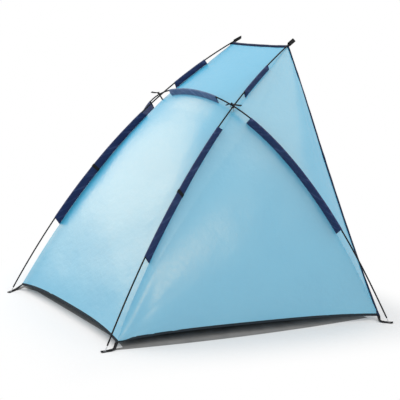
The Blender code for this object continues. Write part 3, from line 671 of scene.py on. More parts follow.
def cloth_material(name, base, shade, thread, roughness, rows, wrinkle=1.0, gloss=0.5,
                   tint=colour(1, 1, 1), ior=1.5, lit=None):
    """Coated polyester: a fine plain weave, slight mottling, faint creases and lines of stitches.

    With a lit colour it has slanting streaks too: painted highlights where the folds of a gathered sleeve
    catch the light, with bumps that follow them.
    """
    made = Shader(name, Specular_IOR_Level=gloss, IOR=ior, Specular_Tint=tint)
    mottle = made.spread(made.noise(5.0, 4.0, 0.6), 0.3, 0.7, 0.0, 1.0)
    cloth = made.mix(mottle, base, shade)
    streak = None
    if lit is not None:
        along_it, across_it = made.strip()
        slant = made.math("MULTIPLY_ADD", across_it, 45.0, made.math("MULTIPLY", along_it, 38.0))
        streak = made.streaks(slant, made.math("MULTIPLY", across_it, 12.0), 0.55)
        # Painted highlight: the slanting streaks are painted in the lit colour
        cloth = made.mix(made.spread(streak, 0.52, 0.74, 0.0, 1.0), cloth, lit)
    rough = made.spread(made.noise(60.0, 3.0), 0.3, 0.7, roughness - 0.04, roughness + 0.05)
    threads = made.node("ShaderNodeTexWave", {"Scale": 900.0, "Vector": made.place()},
                        wave_type="BANDS", bands_direction="Z")
    normal = made.bump(threads.outputs["Fac"], 0.00005, 0.35)
    normal = made.bump(made.noise(85.0, 3.0, 0.55), 0.0005 * wrinkle, 1.0, normal)
    normal = made.bump(made.noise(17.0, 2.0, 0.5), 0.0016 * wrinkle, 1.0, normal)
    if streak is not None:
        normal = made.bump(streak, 0.003, 0.8, normal)
    made.set(Base_Color=made.mix(made.stitches(rows), cloth, thread), Roughness=rough, Normal=normal)
    return made.material


def webbing_material(name, base, light, pitch=0.0016, rows=(0.0022,)):
    """Woven nylon: ribs across the strip, a paler thread here and there, and stitches."""
    made = Shader(name, Roughness=0.75, Specular_IOR_Level=0.2)
    weave = made.weave(pitch, pitch * 1.3)
    fleck = made.spread(made.noise(900.0, 2.0), 0.4, 0.75, 0.0, 0.8)
    lit = made.math("MULTIPLY", made.spread(weave, -1.0, 1.0, 0.0, 1.0), fleck)
    sewn = made.stitches(rows)
    normal = made.bump(sewn, 0.0004, 0.8, made.bump(weave, 0.00025, 1.0))
    made.set(Base_Color=made.mix(sewn, made.mix(lit, base, light), light), Normal=normal)
    return made.material


def rod_material(name):
    """Black pultruded fibreglass: fine lines along the rod and faint rubbed patches."""
    made = Shader(name, Specular_IOR_Level=0.12)
    along_it, across_it = made.strip()
    streak = made.streaks(made.math("MULTIPLY", along_it, 6.0), made.math("MULTIPLY", across_it, 900.0), 0.6)
    rubbed = made.spread(made.noise(45.0, 3.0, 0.6), 0.5, 0.8, 0.0, 1.0)
    base = made.mix(streak, colour(0.005, 0.005, 0.006), colour(0.012, 0.012, 0.013))
    base = made.mix(made.math("MULTIPLY", rubbed, 0.25), base, colour(0.03, 0.03, 0.032))
    rough = made.spread(streak, 0.3, 0.7, 0.34, 0.5)
    made.set(Base_Color=base, Roughness=rough, Normal=made.bump(streak, 0.00006, 0.6))
    return made.material


def steel_material(name, base, roughness):
    """Steel, with darker and duller patches of wear."""
    made = Shader(name, Metallic=1.0)
    wear = made.noise(320.0, 4.0, 0.6)
    worn = colour(*(0.64 * part for part in base[:3]))
    rough = made.spread(wear, 0.3, 0.7, roughness - 0.08, roughness + 0.14)
    normal = made.bump(made.noise(1400.0, 2.0), 0.00003, 0.5)
    made.set(Base_Color=made.mix(wear, base, worn), Roughness=rough, Normal=normal)
    return made.material


def sheet_material(name):
    """A dark coated groundsheet: woven tape grid, scuffs, and painted shade, as it is painted paler towards
    its rim in a painted shadow fade from the deep shade under the tent out to the lit floor.
    """
    made = Shader(name, Roughness=0.8, Specular_IOR_Level=0.0)
    scuff = made.spread(made.noise(9.0, 5.0, 0.65), 0.35, 0.75, 0.0, 1.0)
    base = made.mix(scuff, colour(0.003, 0.003, 0.004), colour(0.007, 0.007, 0.008))
    _, inwards = made.strip()
    uneven = made.math("MULTIPLY_ADD", made.noise(14.0, 3.0), 0.03, inwards)
    # Painted shadow fade: paler towards the rim, with a little noise in where it starts, standing for the
    # soft edge of the tent's shadow
    painted_shadow_fade = made.math("POWER", made.spread(uneven, 0.012, 0.118, 1.0, 0.0), 1.6)
    weave = made.node("ShaderNodeTexChecker", {"Scale": 420.0, "Vector": made.place()}).outputs["Fac"]
    normal = made.bump(made.noise(24.0, 3.0), 0.0015, 1.0, made.bump(weave, 0.0001, 0.5))
    made.set(Base_Color=made.mix(painted_shadow_fade, base, colour(0.24, 0.237, 0.232)), Normal=normal)
    return made.material


def elastic_material(name):
    """Pale braided elastic, flecked by its threads."""
    made = Shader(name, Roughness=0.8, Sheen_Weight=0.2)
    fleck = made.noise(1500.0, 3.0)
    base = made.mix(fleck, colour(0.82, 0.82, 0.8), colour(0.6, 0.6, 0.58))
    made.set(Base_Color=base, Normal=made.bump(fleck, 0.0001, 0.8))
    return made.material


# Its thread is darker than the cloth: real stitches, whose darker colour also paints the shade in the seam's
# fold
sky = cloth_material(
    "canopy_cloth", colour(0.056, 0.448, 0.712), colour(0.047, 0.428, 0.693), colour(0.039, 0.335, 0.553),
    0.36, (0.0030, 0.0100), gloss=1.0, tint=colour(1.0, 0.63, 0.25), ior=1.88,
)
# The sleeve cloth's lit colour is a painted highlight, drawn in its slanting streaks
navy = cloth_material(
    "sleeve_cloth", colour(0.009, 0.018, 0.074), colour(0.013, 0.025, 0.088), colour(0.018, 0.030, 0.092),
    0.5, (0.0040,), wrinkle=0.8, gloss=0.25, lit=colour(0.045, 0.065, 0.160),
)
# The top sleeve is the same navy cloth as the other sleeves, painted lighter: its paler colour is painted
# light, the sheen it catches, and its lit colour is a painted highlight too
top_navy = cloth_material(
    "top_sleeve_cloth", colour(0.030, 0.075, 0.175), colour(0.040, 0.090, 0.200), colour(0.05, 0.10, 0.21),
    0.45, (0.0040,), gloss=0.45, lit=colour(0.11, 0.18, 0.35),
)
tape = (0.0011, (0.0025,))
hem_tape = webbing_material("hem_tape", colour(0.014, 0.022, 0.030), colour(0.045, 0.058, 0.068), *tape)
mouth_tape = webbing_material("mouth_tape", colour(0.012, 0.022, 0.060), colour(0.03, 0.045, 0.10), *tape)
black_webbing = webbing_material("webbing", colour(0.006, 0.006, 0.007), colour(0.026, 0.026, 0.028))
fibre = rod_material("fibreglass")
steel = steel_material("steel", colour(0.70, 0.71, 0.73), 0.28)
dull_steel = steel_material("dull_steel", colour(0.16, 0.16, 0.17), 0.42)
ground_cloth = sheet_material("groundsheet_cloth")
elastic = elastic_material("elastic")


# Poles and pins


def section_ends(route, sections):
    start, end = pin_reach, route.length - route.end_inset
    cuts = np.linspace(start, end, sections + 1)
    inner = np.full(sections + 1, rod_gap / 2)
    inner[[0, -1]] = 0
    return list(zip(cuts[:-1] + inner[:-1], cuts[1:] - inner[1:]))


def make_pole(names, route, side, sections):
    """Smooth rods with slightly rounded ends, one for each section."""
    chamfer = rod_diameter / 12
    for name, (start, end) in zip(names, section_ends(route, sections)):
        count = max(3, round((end - start) / route_step))
        middle = np.linspace(start + chamfer, end - chamfer, count)
        places = np.concatenate(([start, start + chamfer / 2], middle, [end - chamfer / 2, end]))
        radii = np.full(len(places), rod_diameter / 2)
        radii[[0, -1]] -= chamfer
        radii[[1, -2]] -= chamfer / 3
        path = mirrored(route.point(places), side)
        points, faces, strip = tube_mesh(path, radii, rod_sides, mirrored(route.sideways, side))
        piece = add_piece(f"{name}_rod", points, faces, fibre, strip=strip)
        finish(piece, "tent", name)


def make_pin(name, route, side):
    """A turned steel pin with a domed point and a small collar where it enters the rod."""
    direction = start_direction(route)
    radius = pin_diameter / 2
    lean = math.hypot(direction[0], direction[1]) / direction[2]
    turns = np.linspace(0, math.pi / 2, 6)
    places = list(radius * lean + radius * (1 - np.cos(turns)))
    radii = list(np.maximum(radius * np.sin(turns), radius * 0.12))
    shoulder = pin_reach - collar_length
    places += [shoulder, shoulder + 0.0004, pin_reach - 0.0002, pin_reach, pin_reach + pin_shank]
    radii += [radius, collar_radius, collar_radius, radius, radius]
    path = mirrored(route.points[0] + direction * np.array(places)[:, None], side)
    points, faces, strip = tube_mesh(path, np.array(radii), pin_sides, mirrored(route.sideways, side))
    piece = add_piece(f"{name}_turned", points, faces, steel, strip=strip)
    piece.data.set_sharp_from_angle(angle=math.radians(pin_crease))
    finish(piece, "tent", name)


def make_poles():
    for word, side in SIDES:
        names = [f"rear_pole_{word}_{part}" for part in ("lower", "middle", "upper")]
        make_pole(names, tent.rear, side, rear_pole_sections)
        make_pin(f"foot_pin_rear_{word}", tent.rear, side)
        make_pin(f"foot_pin_front_{word}", tent.arch, side)
    parts = ("right_leg", "right_shoulder", "crown", "left_shoulder", "left_leg")
    make_pole([f"arch_pole_{part}" for part in parts], tent.arch, RIGHT, arch_pole_sections)


# Canopy panels


def patch(bottom, top, left, right, rows, columns):
    """A surface stretched between four edges, with u across it first and v up it second."""
    u, v = np.linspace(0, 1, columns), np.linspace(0, 1, rows)
    low, high = along(bottom, u)[:, None], along(top, u)[:, None]
    near, far = along(left, v)[None], along(right, v)[None]
    u, v = u[:, None, None], v[None, :, None]
    corners = (1 - u) * (1 - v) * bottom[0] + u * (1 - v) * bottom[-1]
    corners = corners + (1 - u) * v * top[0] + u * v * top[-1]
    return (1 - v) * low + v * high + (1 - u) * near + u * far - corners


def surface_normals(grid):
    across = np.gradient(grid, axis=0)
    up = np.gradient(grid, axis=1)
    normal = np.cross(across, up)
    length = np.linalg.norm(normal, axis=2, keepdims=True)
    return normal / np.maximum(length, 1e-12)


def grid_places(grid):
    """How far each point is along its row and up its column."""
    across = np.linalg.norm(np.diff(grid, axis=0), axis=2)
    up = np.linalg.norm(np.diff(grid, axis=1), axis=2)
    across = np.concatenate((np.zeros((1, grid.shape[1])), np.cumsum(across, axis=0)))
    up = np.concatenate((np.zeros((grid.shape[0], 1)), np.cumsum(up, axis=1)), axis=1)
    return across, up


def edge_fade(distance, reach):
    return 1 - np.exp(-np.maximum(distance, 0) / reach)


def soft_folds(grid, seed, height):
    """Slack in the cloth: broad waves, small ones, and puckers that run in from the seams."""
    across, up = grid_places(grid)
    width, length = across[-1:], up[:, -1:]
    inside = np.minimum.reduce([across, width - across, up, length - up])
    small = noise(across, up, small_wave_width, seed + 1) * height * small_wave_share
    shape = (noise(across, up, broad_wave_width, seed) * height + small) * edge_fade(inside, 0.05)
    sides = np.minimum(across, width - across)
    ends = np.minimum(up, length - up)
    by_side = noise(up, np.where(across < width / 2, 0.0, 5.0), pucker_width, seed + 2)
    by_end = noise(across, np.where(up < length / 2, 0.0, 5.0), pucker_width, seed + 3)
    for pucker, gap in ((by_side, sides), (by_end, ends)):
        shape = shape + pucker * pucker_height * np.exp(-gap / pucker_reach) * edge_fade(gap, 0.006)
    return shape


def fan_folds(grid, folds):
    """Folds that fan out from the corner, each with its place across, width, slope and reach."""
    across, up = grid_places(grid)
    u = np.linspace(0, 1, grid.shape[0])[:, None]
    total = np.zeros(grid.shape[:2])
    for share, width, slope, reach in folds:
        fade = edge_fade(up, 0.03) * np.exp(-((up / reach) ** 2))
        total = total + np.exp(-(((u - share) / width) ** 2)) * fade * slope * width * across[-1:]
    sides = np.minimum(across, across[-1:] - across)
    return total * edge_fade(sides, 0.008)


def seam_folds(grid, folds):
    """Folds that run up from the corner beside the first seam."""
    across, up = grid_places(grid)
    total = np.zeros(grid.shape[:2])
    for distance, width, height, reach in folds:
        off = across - distance * edge_fade(up, 0.05)
        fade = edge_fade(up, 0.04) * np.exp(-((up / reach) ** 4))
        total = total + height * np.exp(-((off / width) ** 2)) * fade
    sides = np.minimum(across, across[-1:] - across)
    return total * edge_fade(sides, 0.006)


def nearest_edge_strip(grid):
    """For each point, how far along the nearest edge it is and how far in from it."""
    across, up = grid_places(grid)
    width, length = across[-1:], up[:, -1:]
    options = np.stack([across, np.broadcast_to(width, across.shape) - across,
                        np.broadcast_to(length, up.shape) - up])
    nearest = options.argmin(axis=0)
    run = np.where(nearest == 2, across, up)
    return np.stack([run, options.min(axis=0)], axis=-1)


def make_panel(name, node, grid, folds, holders, side=RIGHT):
    """One panel of the canopy, from its smooth surface and the height of its folds."""
    strip = nearest_edge_strip(grid)
    shaped = mirrored(grid + surface_normals(grid) * folds[..., None], side)
    columns, rows = grid.shape[:2]
    faces = grid_faces(columns, rows)
    if side == LEFT:
        faces = [face[::-1] for face in faces]
    piece = add_piece(name, shaped, faces, sky, strip=strip)
    mend(piece, merge=0.00005)
    thicken(piece, cloth_thickness)
    finish(piece, "tent", node)
    return shaped


def counts(line):
    return max(8, round(distances(line)[-1] / cloth_step))


def make_canopy():
    """All six panels. Returns their shaped surfaces, whose edges the tapes follow."""
    edges = {}
    spanning = (
        ("back", "back_wall_cloth", "back_wall", tent.back_hem, tent.low, "rear_sleeve", 10, 0.004),
        ("roof", "roof_cloth", "roof_panel", tent.roof_edge, tent.high, "upper_sleeve", 20, 0.003),
    )
    for part, name, node, edge, seam, sleeve, seed, height in spanning:
        grid = patch(edge, tent.top, seam, mirrored(seam, LEFT), counts(seam), counts(tent.top))
        holders = [f"{sleeve}_left", f"{sleeve}_right", "arch_sleeve_top"]
        edges[part] = make_panel(name, node, grid, soft_folds(grid, seed, height), holders)
    fans = (
        ("rear", tent.low, tent.side_hem, "rear_sleeve", 30, 0.0035, rear_folds, rear_seam_folds),
        ("front", tent.high, tent.front_edge, "upper_sleeve", 60, 0.003, front_folds, ()),
    )
    for number, (word, side) in enumerate(SIDES):
        for part, seam, edge, sleeve, seed, height, fanned, beside in fans:
            corner = np.repeat(seam[:1], 2, axis=0)
            grid = patch(corner, tent.side, seam, edge, counts(seam), counts(tent.side))
            folds = soft_folds(grid, seed + 10 * number, height)
            folds += fan_folds(grid, fanned) + seam_folds(grid, beside)
            names = f"{part}_side_cloth_{word}", f"{part}_side_panel_{word}"
            holders = [f"{sleeve}_{word}", f"arch_sleeve_{word}"]
            edges[part, side] = make_panel(*names, grid, folds, holders, side)
    return edges


# Tapes sewn over the free edges


def tape_rings(edge, inner, width, thickness, roll):
    """Outlines of a folded tape at each point of an edge, given points just inside it."""
    step = unit(np.gradient(edge, axis=0))
    aside = inner - edge
    aside = unit(aside - (aside * step).sum(axis=1)[:, None] * step)
    edge = edge - aside * roll * 0.3
    normal = np.cross(step, aside)
    half, fat = thickness / 2, roll / 2
    flap = [(width, half * 0.7), (width * 0.6, half), (roll * 0.7, fat * 0.8)]
    upper = flap + [(0, fat), (-fat * 0.7, fat * 0.7)]
    outline = upper + [(-fat, 0)] + [(a, -n) for a, n in upper[::-1]]
    run = distances(edge)
    wave = noise(run, 0, 0.03, 90)[:, None] * thickness * 0.25
    rings = [edge + aside * a + normal * (n + wave) for a, n in outline]
    across = np.array([a for a, _ in outline])
    strip = np.stack(np.broadcast_arrays(run[:, None], across[None]), axis=-1)
    return np.stack(rings, axis=1), strip


def make_tape(name, stretches, width, thickness, roll, material, slot):
    """One tape over several edges that follow each other."""
    parts = []
    for edge, inner in stretches:
        rings, strip = tape_rings(edge, inner, width, thickness, roll)
        parts.append((rings.reshape(-1, 3), tube_faces(*rings.shape[:2]), strip.reshape(-1, 2)))
    points, faces, strip = join_meshes(parts)
    piece = add_piece(f"{name}_tape", points, faces, material, strip=strip)
    piece.data.set_sharp_from_angle(angle=math.radians(tape_crease))
    finish(piece, "tent", name)


def make_tapes(edges):
    """The hem's tape runs along the sides and the back, the mouth's along the fronts and the roof."""
    rows = (("hem", "rear", "back", hem_tape_sizes, hem_tape),
            ("mouth", "front", "roof", mouth_tape_sizes, mouth_tape))
    for word, sides, across, sizes, material in rows:
        right, left, middle = edges[sides, RIGHT], edges[sides, LEFT], edges[across]
        stretches = ((right[-1][::-1], right[-3][::-1]), (middle[:, 0], middle[:, 2]), (left[-1], left[-3]))
        make_tape(f"{word}_binding", [trim(*pair) for pair in stretches], *sizes, material, f"{word}_tape")


def trim(edge, inner):
    """Where the panel has no width, in a corner, the inside is taken from the next good point."""
    keep = np.flatnonzero(np.linalg.norm(edge - inner, axis=1) > 0.0015)
    nearest = np.clip(np.arange(len(edge)), keep[0], keep[-1])
    return edge, edge + (inner - edge)[nearest]


# Sleeves


def sleeve_outline(seam, places, side, seed, lift=0.0, pucker=0.0009, skew=(0, 0)):
    """Points round a sleeve at each place: out on one layer, round the rod, back on the other.

    The sewn edge is longer than the edge at the rod by what skew gives for its two ends.
    """
    route = seam.route
    share = (places - places[0]) / (places[-1] - places[0])
    growth = skew[1] * share - skew[0] * (1 - share)
    radius = rod_diameter / 2 + sleeve_slack + lift
    flat = np.linspace(0, 1, 8)[:-1]
    layers = [(1, t, None) for t in flat]
    layers += [(1, 1.0, turn) for turn in np.radians(np.linspace(90, -90, 9))]
    layers += [(-1, t, None) for t in flat[::-1]]
    rows, gaps = [], []
    for sign, t, turn in layers:
        at = places + growth * (1 - t)
        centre = route.point(at)
        to_seam = seam.point(at) - centre
        width = np.linalg.norm(to_seam, axis=1, keepdims=True)
        inward = to_seam / width
        across = np.broadcast_to(route.sideways, centre.shape)
        if turn is None:
            reach = (width - 2 * sleeve_seam_half) * (1 - t)
            half = sleeve_seam_half + lift + (radius - sleeve_seam_half - lift) * t**0.8
            amount = noise(at, sign * 3.0 + t * 0.03, sleeve_fine_pucker, seed) * pucker
            amount += noise(at, sign * 9.0, sleeve_broad_pucker, seed + 1) * pucker
            room = np.minimum(np.abs(amount), 0.7 * half) * np.sign(amount)
            room = room * math.sin(math.pi * min(t + 0.08, 1))
            rows.append(centre + inward * reach + across * sign * (half + room[:, None]))
        else:
            wobble = 1 + sleeve_wobble * noise(at, turn, sleeve_wobble_width, seed + 2)[:, None]
            rows.append(centre + radius * wobble * (math.sin(turn) * across - math.cos(turn) * inward))
        gaps.append(width[:, 0] * t)
    points = np.stack(rows, axis=1)
    gap = np.stack(gaps, axis=1)
    run = (places - places[0])[:, None] + growth[:, None] * (1 - gap / gap.max(axis=1, keepdims=True))
    strip = np.stack([run, gap], axis=-1)
    return mirrored(points, side), strip, gap.max(axis=1)


def make_sleeve(name, seam, shares, side, material, slot, seed, pucker, skew, rods):
    """A sleeve folded round its rods and sewn into the seam, between two shares of the pole."""
    start, end = (seam.route.at(s) for s in shares)
    places = np.linspace(start, end, round((end - start) / sleeve_step))
    points, strip, width = sleeve_outline(seam, places, side, seed, pucker=pucker, skew=skew)
    faces = grid_faces(len(points), points.shape[1])
    piece = add_piece(f"{name}_cloth", points, faces, material, strip=strip)
    thicken(piece, cloth_thickness)
    finish(piece, "tent", name)


def make_band(name, seam, side):
    """A band of webbing folded over the sleeve and sewn down at the seam."""
    middle = seam.route.at(rear_band_share)
    places = middle + np.linspace(-band_half_length, band_half_length, 7)
    points, strip, _ = sleeve_outline(seam, places, side, 300, lift=band_lift, pucker=0.0003)
    faces = grid_faces(len(points), points.shape[1])
    piece = add_piece(f"{name}_webbing", points, faces, black_webbing, strip=strip)
    thicken(piece, thin_webbing_thickness)
    finish(piece, "tent", name)


def make_sleeves():
    for number, (word, side) in enumerate(SIDES):
        rear, arch = f"rear_pole_{word}", f"arch_pole_{word}"
        low_rods, leg_rods = [f"{rear}_lower", f"{rear}_middle"], [f"{arch}_leg", f"{arch}_shoulder"]
        arch_skew = (0.012, 0.021) if side == LEFT else (0.012, -0.004)
        # Each with its seam, its place, how much longer its ends are sewn, and its rods
        rows = (("rear_sleeve", tent.rear_seam, rear_sleeve_shares, (0.015, 0.015), low_rods),
                ("upper_sleeve", tent.rear_seam, upper_sleeve_shares, (0.010, 0.004), [f"{rear}_upper"]),
                ("arch_sleeve", tent.arch_seam, arch_sleeve_shares, arch_skew, leg_rods))
        for kind, (prefix, seam, shares, skew, rods) in enumerate(rows):
            seed = 100 + 20 * number + 5 * kind
            cloth = navy, "sleeve_cloth", seed, 0.0012
            make_sleeve(f"{prefix}_{word}", seam, shares, side, *cloth, skew, rods)
        make_band(f"sleeve_band_{word}", tent.rear_seam, side)
    make_sleeve("arch_sleeve_top", tent.arch_seam, top_sleeve_shares, RIGHT, top_navy, "top_sleeve_cloth",
                160, 0.0022, (0.0, 0.015), ["arch_pole_crown"])


# Webbing at the corners


def ribbon(path, wides, columns=7):
    """Points and strip places of a ribbon along a path, with half its width given at each point."""
    path = np.asarray(path, float)
    shares = np.linspace(-1, 1, columns)
    points = path[:, None] + wides[:, None] * shares[None, :, None]
    half = np.linalg.norm(wides, axis=1)[:, None]
    gap = half * (1 - np.abs(shares))[None]
    run = np.broadcast_to(distances(path)[:, None], gap.shape)
    return points, np.stack([run, gap], axis=-1)


def tab_direction(route, corner, turn):
    x, y, _ = unit((corner - eyelet_place(route)) * np.array([1, 1, 0]))
    a = math.radians(turn)
    return np.array([x * math.cos(a) - y * math.sin(a), x * math.sin(a) + y * math.cos(a), 0])


def make_tab(name, body, foot, towards, curl):
    """A short webbing tab with a round hole, whose outer end is melted and a little curled."""
    aside = np.array([-towards[1], towards[0], 0])
    turns = np.linspace(0, 2 * math.pi, tab_sides, endpoint=False)
    middle = (tab_inner_reach - tab_outer_reach) / 2
    half_long, half_wide = (tab_inner_reach + tab_outer_reach) / 2, tab_width / 2
    reach = superellipse(turns, 7)
    rim = np.stack([middle + half_long * reach * np.cos(turns), half_wide * reach * np.sin(turns)], axis=1)
    hole = tab_hole_radius * np.stack([np.cos(turns), np.sin(turns)], axis=1)
    rings, strips = [], []
    for share in (0, 0.12, 0.3, 0.5, 0.7, 0.86, 1.0):
        flat = hole * (1 - share) + rim * share
        out = np.clip(-flat[:, 0] / tab_outer_reach, 0, 1)
        wave = tab_wave_height * noise(flat[:, 0], flat[:, 1], tab_wave_width, 400)
        height = tab_height + curl * out**3 + wave
        level = foot + towards * flat[:, :1] + aside * flat[:, 1:]
        rings.append(level + np.array([0, 0, 1]) * height[:, None])
        strips.append(np.stack([flat[:, 0], half_wide - np.abs(flat[:, 1])], axis=1))
    faces = grid_faces(len(rings), tab_sides, closed=True)
    strip = np.concatenate(strips)
    piece = add_piece(f"{name}_webbing", np.concatenate(rings), faces, black_webbing, strip=strip)
    thicken(piece, webbing_thickness)
    finish(piece, body, name)


def make_eyelet(name, body, foot):
    """A pressed two-part eyelet: a rolled flange above, a flat washer below and a barrel between."""
    hole, flange, roll = eyelet_hole_radius, eyelet_flange_radius, eyelet_flange_roll
    profile = []
    for turn in np.linspace(0, math.pi, 9):
        height = eyelet_flange_height + roll * (1 - math.cos(turn)) * 0.6
        profile.append((flange - roll + roll * math.sin(turn), height))
    for turn in np.linspace(0, math.pi / 2, 5):
        profile.append((hole + 0.0012 * (1 - math.sin(turn)), 0.0029 - 0.0009 * (1 - math.cos(turn))))
    profile += [(hole, 0.0006), (hole + 0.0003, 0.0001), (flange - 0.0004, 0.0), (flange, 0.0002)]
    profile += [(flange, 0.0005), (eyelet_barrel_radius, 0.0006)]
    profile += [(eyelet_barrel_radius, 0.0019), (flange - 0.0006, 0.0020)]
    turns = np.linspace(0, 2 * math.pi, eyelet_sides, endpoint=False)
    circle = np.stack([np.cos(turns), np.sin(turns), np.zeros(eyelet_sides)], axis=1)
    rings = [foot + circle * radius + np.array([0, 0, height]) for radius, height in profile]
    points = np.concatenate(rings + rings[:1])
    faces = grid_faces(len(rings) + 1, eyelet_sides, closed=True)
    piece = add_piece(f"{name}_pressed", points, faces, dull_steel)
    mend(piece, merge=0.00001, turn=True)
    finish(piece, body, name)


def make_strap(name, corner, foot, towards):
    """A webbing strap that is sewn under the canopy's corner and on to the tab."""
    up = np.array([0, 0, 1.0])
    end = foot + towards * (tab_inner_reach - strap_overlap) + up * 0.0030
    leave = foot + towards * (tab_inner_reach + 0.001) + up * 0.0034
    inside = corner + unit(corner - leave) * strap_inner_end - up * strap_under_corner
    hand = corner - up * strap_under_corner
    guide = bezier((leave, leave + towards * 0.012, hand + (leave - hand) * 0.35, hand), 12)
    path = np.concatenate(([end], guide, [inside]))
    shares = distances(path) / distances(path)[-1]
    first = np.cross(up, towards)
    last = unit(np.cross(up, hand - leave))
    wides = unit(first * (1 - shares[:, None]) + last * shares[:, None]) * strap_width / 2
    points, strip = ribbon(path, wides)
    piece = add_piece(name + "_webbing", points, grid_faces(*points.shape[:2]), black_webbing, strip=strip)
    thicken(piece, webbing_thickness)
    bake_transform(piece)
    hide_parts(name)


def make_corners():
    corners = (("rear", tent.rear, tent.rear_corner, rear_tab_turn, 0.0015),
               ("front", tent.arch, tent.front_corner, front_tab_turn, 0.0035))
    for word, side in SIDES:
        for place, route, corner, turn, curl in corners:
            foot = mirrored(eyelet_place(route), side)
            towards = mirrored(tab_direction(route, corner, turn), side)
            body = f"{place}_{word}_tab"
            make_tab(f"corner_tab_{place}_{word}", body, foot, towards, curl)
            make_eyelet(f"eyelet_{place}_{word}", body, foot)
            make_strap(f"corner_strap_{place}_{word}", mirrored(corner, side), foot, towards)


# Pockets over the tips


def make_pocket(name, body, side):
    """A flat webbing pocket, sewn shut at its far end, with its tongue."""
    tip = mirrored(tent.rear.points[-1], side)
    ahead = mirrored(tent.rear.tangent(tent.rear.length), side)
    down = mirrored(tent.front_corner - tent.tip_corner, side)
    wide = unit(down - ahead * (down @ ahead))
    thick = np.cross(ahead, wide)
    places = np.concatenate((np.linspace(-pocket_depth, -0.004, 15), [-0.001, 0.002, pocket_end]))
    closing = np.clip((places + 0.006) / (pocket_end + 0.006), 0, 1)
    half_thick = pocket_thickness / 2 * (1 - closing) + 0.0014 * closing
    half_wide = pocket_width / 2
    turns = np.linspace(0, 2 * math.pi, pocket_sides, endpoint=False)
    reach = superellipse(turns, 2.6)
    rings, strips = [], []
    for place, t in zip(places, half_thick):
        a, b = reach * np.cos(turns) * half_wide, reach * np.sin(turns) * t
        rings.append(tip + ahead * place + a[:, None] * wide + b[:, None] * thick)
        strips.append(np.stack([np.full(pocket_sides, place + pocket_depth), half_wide - np.abs(a)], axis=1))
    faces = grid_faces(len(rings), pocket_sides, closed=True)
    faces.append(tuple(range((len(rings) - 1) * pocket_sides, len(rings) * pocket_sides)))
    strip = np.concatenate(strips)
    piece = add_piece(f"{name}_webbing", np.concatenate(rings), faces, black_webbing, strip=strip)
    mend(piece, turn=True)
    thicken(piece, webbing_thickness, -1.0)
    finish(piece, body, name)
    make_tongue(name, mirrored(tent.tip_corner, side), tip, ahead, wide)


def make_tongue(name, corner, tip, ahead, wide):
    """The webbing that holds a tip pocket to the canopy's corner."""
    under = tip - ahead * (pocket_depth - tongue_overlap)
    path = bezier((corner - ahead * 0.008, corner, under - ahead * 0.012, under), 10)
    wides = np.repeat(wide[None], 10, axis=0) * pocket_width * tongue_half_width_share
    points, strip = ribbon(path, wides, 5)
    lift = unit(np.cross(ahead, wide))
    lift *= math.copysign(1, (corner - under) @ lift)
    points = points + lift * (rod_diameter / 2 + tongue_rod_gap) * np.linspace(0, 1, 10)[:, None, None]
    tongue = add_piece(f"{name}_tongue", points, grid_faces(*points.shape[:2]), black_webbing, strip=strip)
    thicken(tongue, thin_webbing_thickness)
    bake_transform(tongue)


# Ties at the crossings


def flat_radii(wide):
    return np.stack([wide, np.full(len(wide), tape_half_thickness)], axis=1)


def make_tie(name, side):
    """Two turns of cord round the crossing, a knot outside with two tails, and a tape inside."""
    rear, arch = tent.rear, tent.arch
    below, above = rear.point(rear.at(crossing_share)), arch.point(arch.at(tent.crossing_at))
    centre, up = (below + above) / 2, unit(above - below)
    one, two = rear.tangent(rear.at(crossing_share)), arch.tangent(arch.at(tent.crossing_at))
    two = two * math.copysign(1, one @ two)
    through = unit(unit(one + two) - up * (unit(one + two) @ up))
    across = np.cross(up, through)
    loop = rod_diameter + tie_loop_slack
    turns = np.linspace(0, 4 * math.pi, 49)
    squeeze = 1 + tie_wrap_squeeze * np.cos(2 * turns)
    wrap = centre + loop * squeeze[:, None] * (np.cos(turns)[:, None] * up + np.sin(turns)[:, None] * across)
    wrap = wrap + np.linspace(-1, 1, 49)[:, None] * tie_cord_radius * 1.1 * through
    parts = [tube_mesh(wrap, tie_cord_radius, cord_sides, through)]
    knot = centre + up * (loop + knot_lift)
    level = unit(np.cross([0, 0, 1], up))
    ahead = unit(np.cross(level, up))
    level = np.cross(up, ahead)
    t = np.linspace(0, 2 * math.pi, 61)
    trefoil = np.stack([np.sin(t) + 2 * np.sin(2 * t), np.cos(t) - 2 * np.cos(2 * t), -np.sin(3 * t)], axis=1)
    axes = np.stack([level, ahead, up]) * np.array(knot_stretch)[:, None]
    parts.append(tube_mesh(knot + trefoil * knot_size @ axes, knot_cord_radius, cord_sides))
    for sign, length, rise, drift, turn in tie_tails:
        turn = math.radians(turn)
        aside = sign * (level * math.cos(turn) + np.cross(up, level) * math.sin(turn))
        s = np.linspace(0, 1, 12)[:, None]
        path = knot + aside * (tail_start + length * s) + up * rise * s + ahead * drift * np.sin(3 * s)
        wide = np.interp(s[:, 0], (0, 0.25, 1), tail_half_widths)
        parts.append(tube_mesh(path, flat_radii(wide), cord_sides, ahead))
    start, end = centre - up * loop, tent.meeting
    s = np.linspace(0, 1, 8)[:, None]
    path = start + (end - start) * s
    parts.append(tube_mesh(path, flat_radii(np.full(8, inner_tape_half_width)), cord_sides, through))
    points, faces, strip = join_meshes(parts)
    if side == LEFT:
        faces = [face[::-1] for face in faces]
    piece = add_piece(f"{name}_cord", mirrored(points, side), faces, black_webbing, strip=strip)
    finish(piece, "tent", name)


# Groundsheet


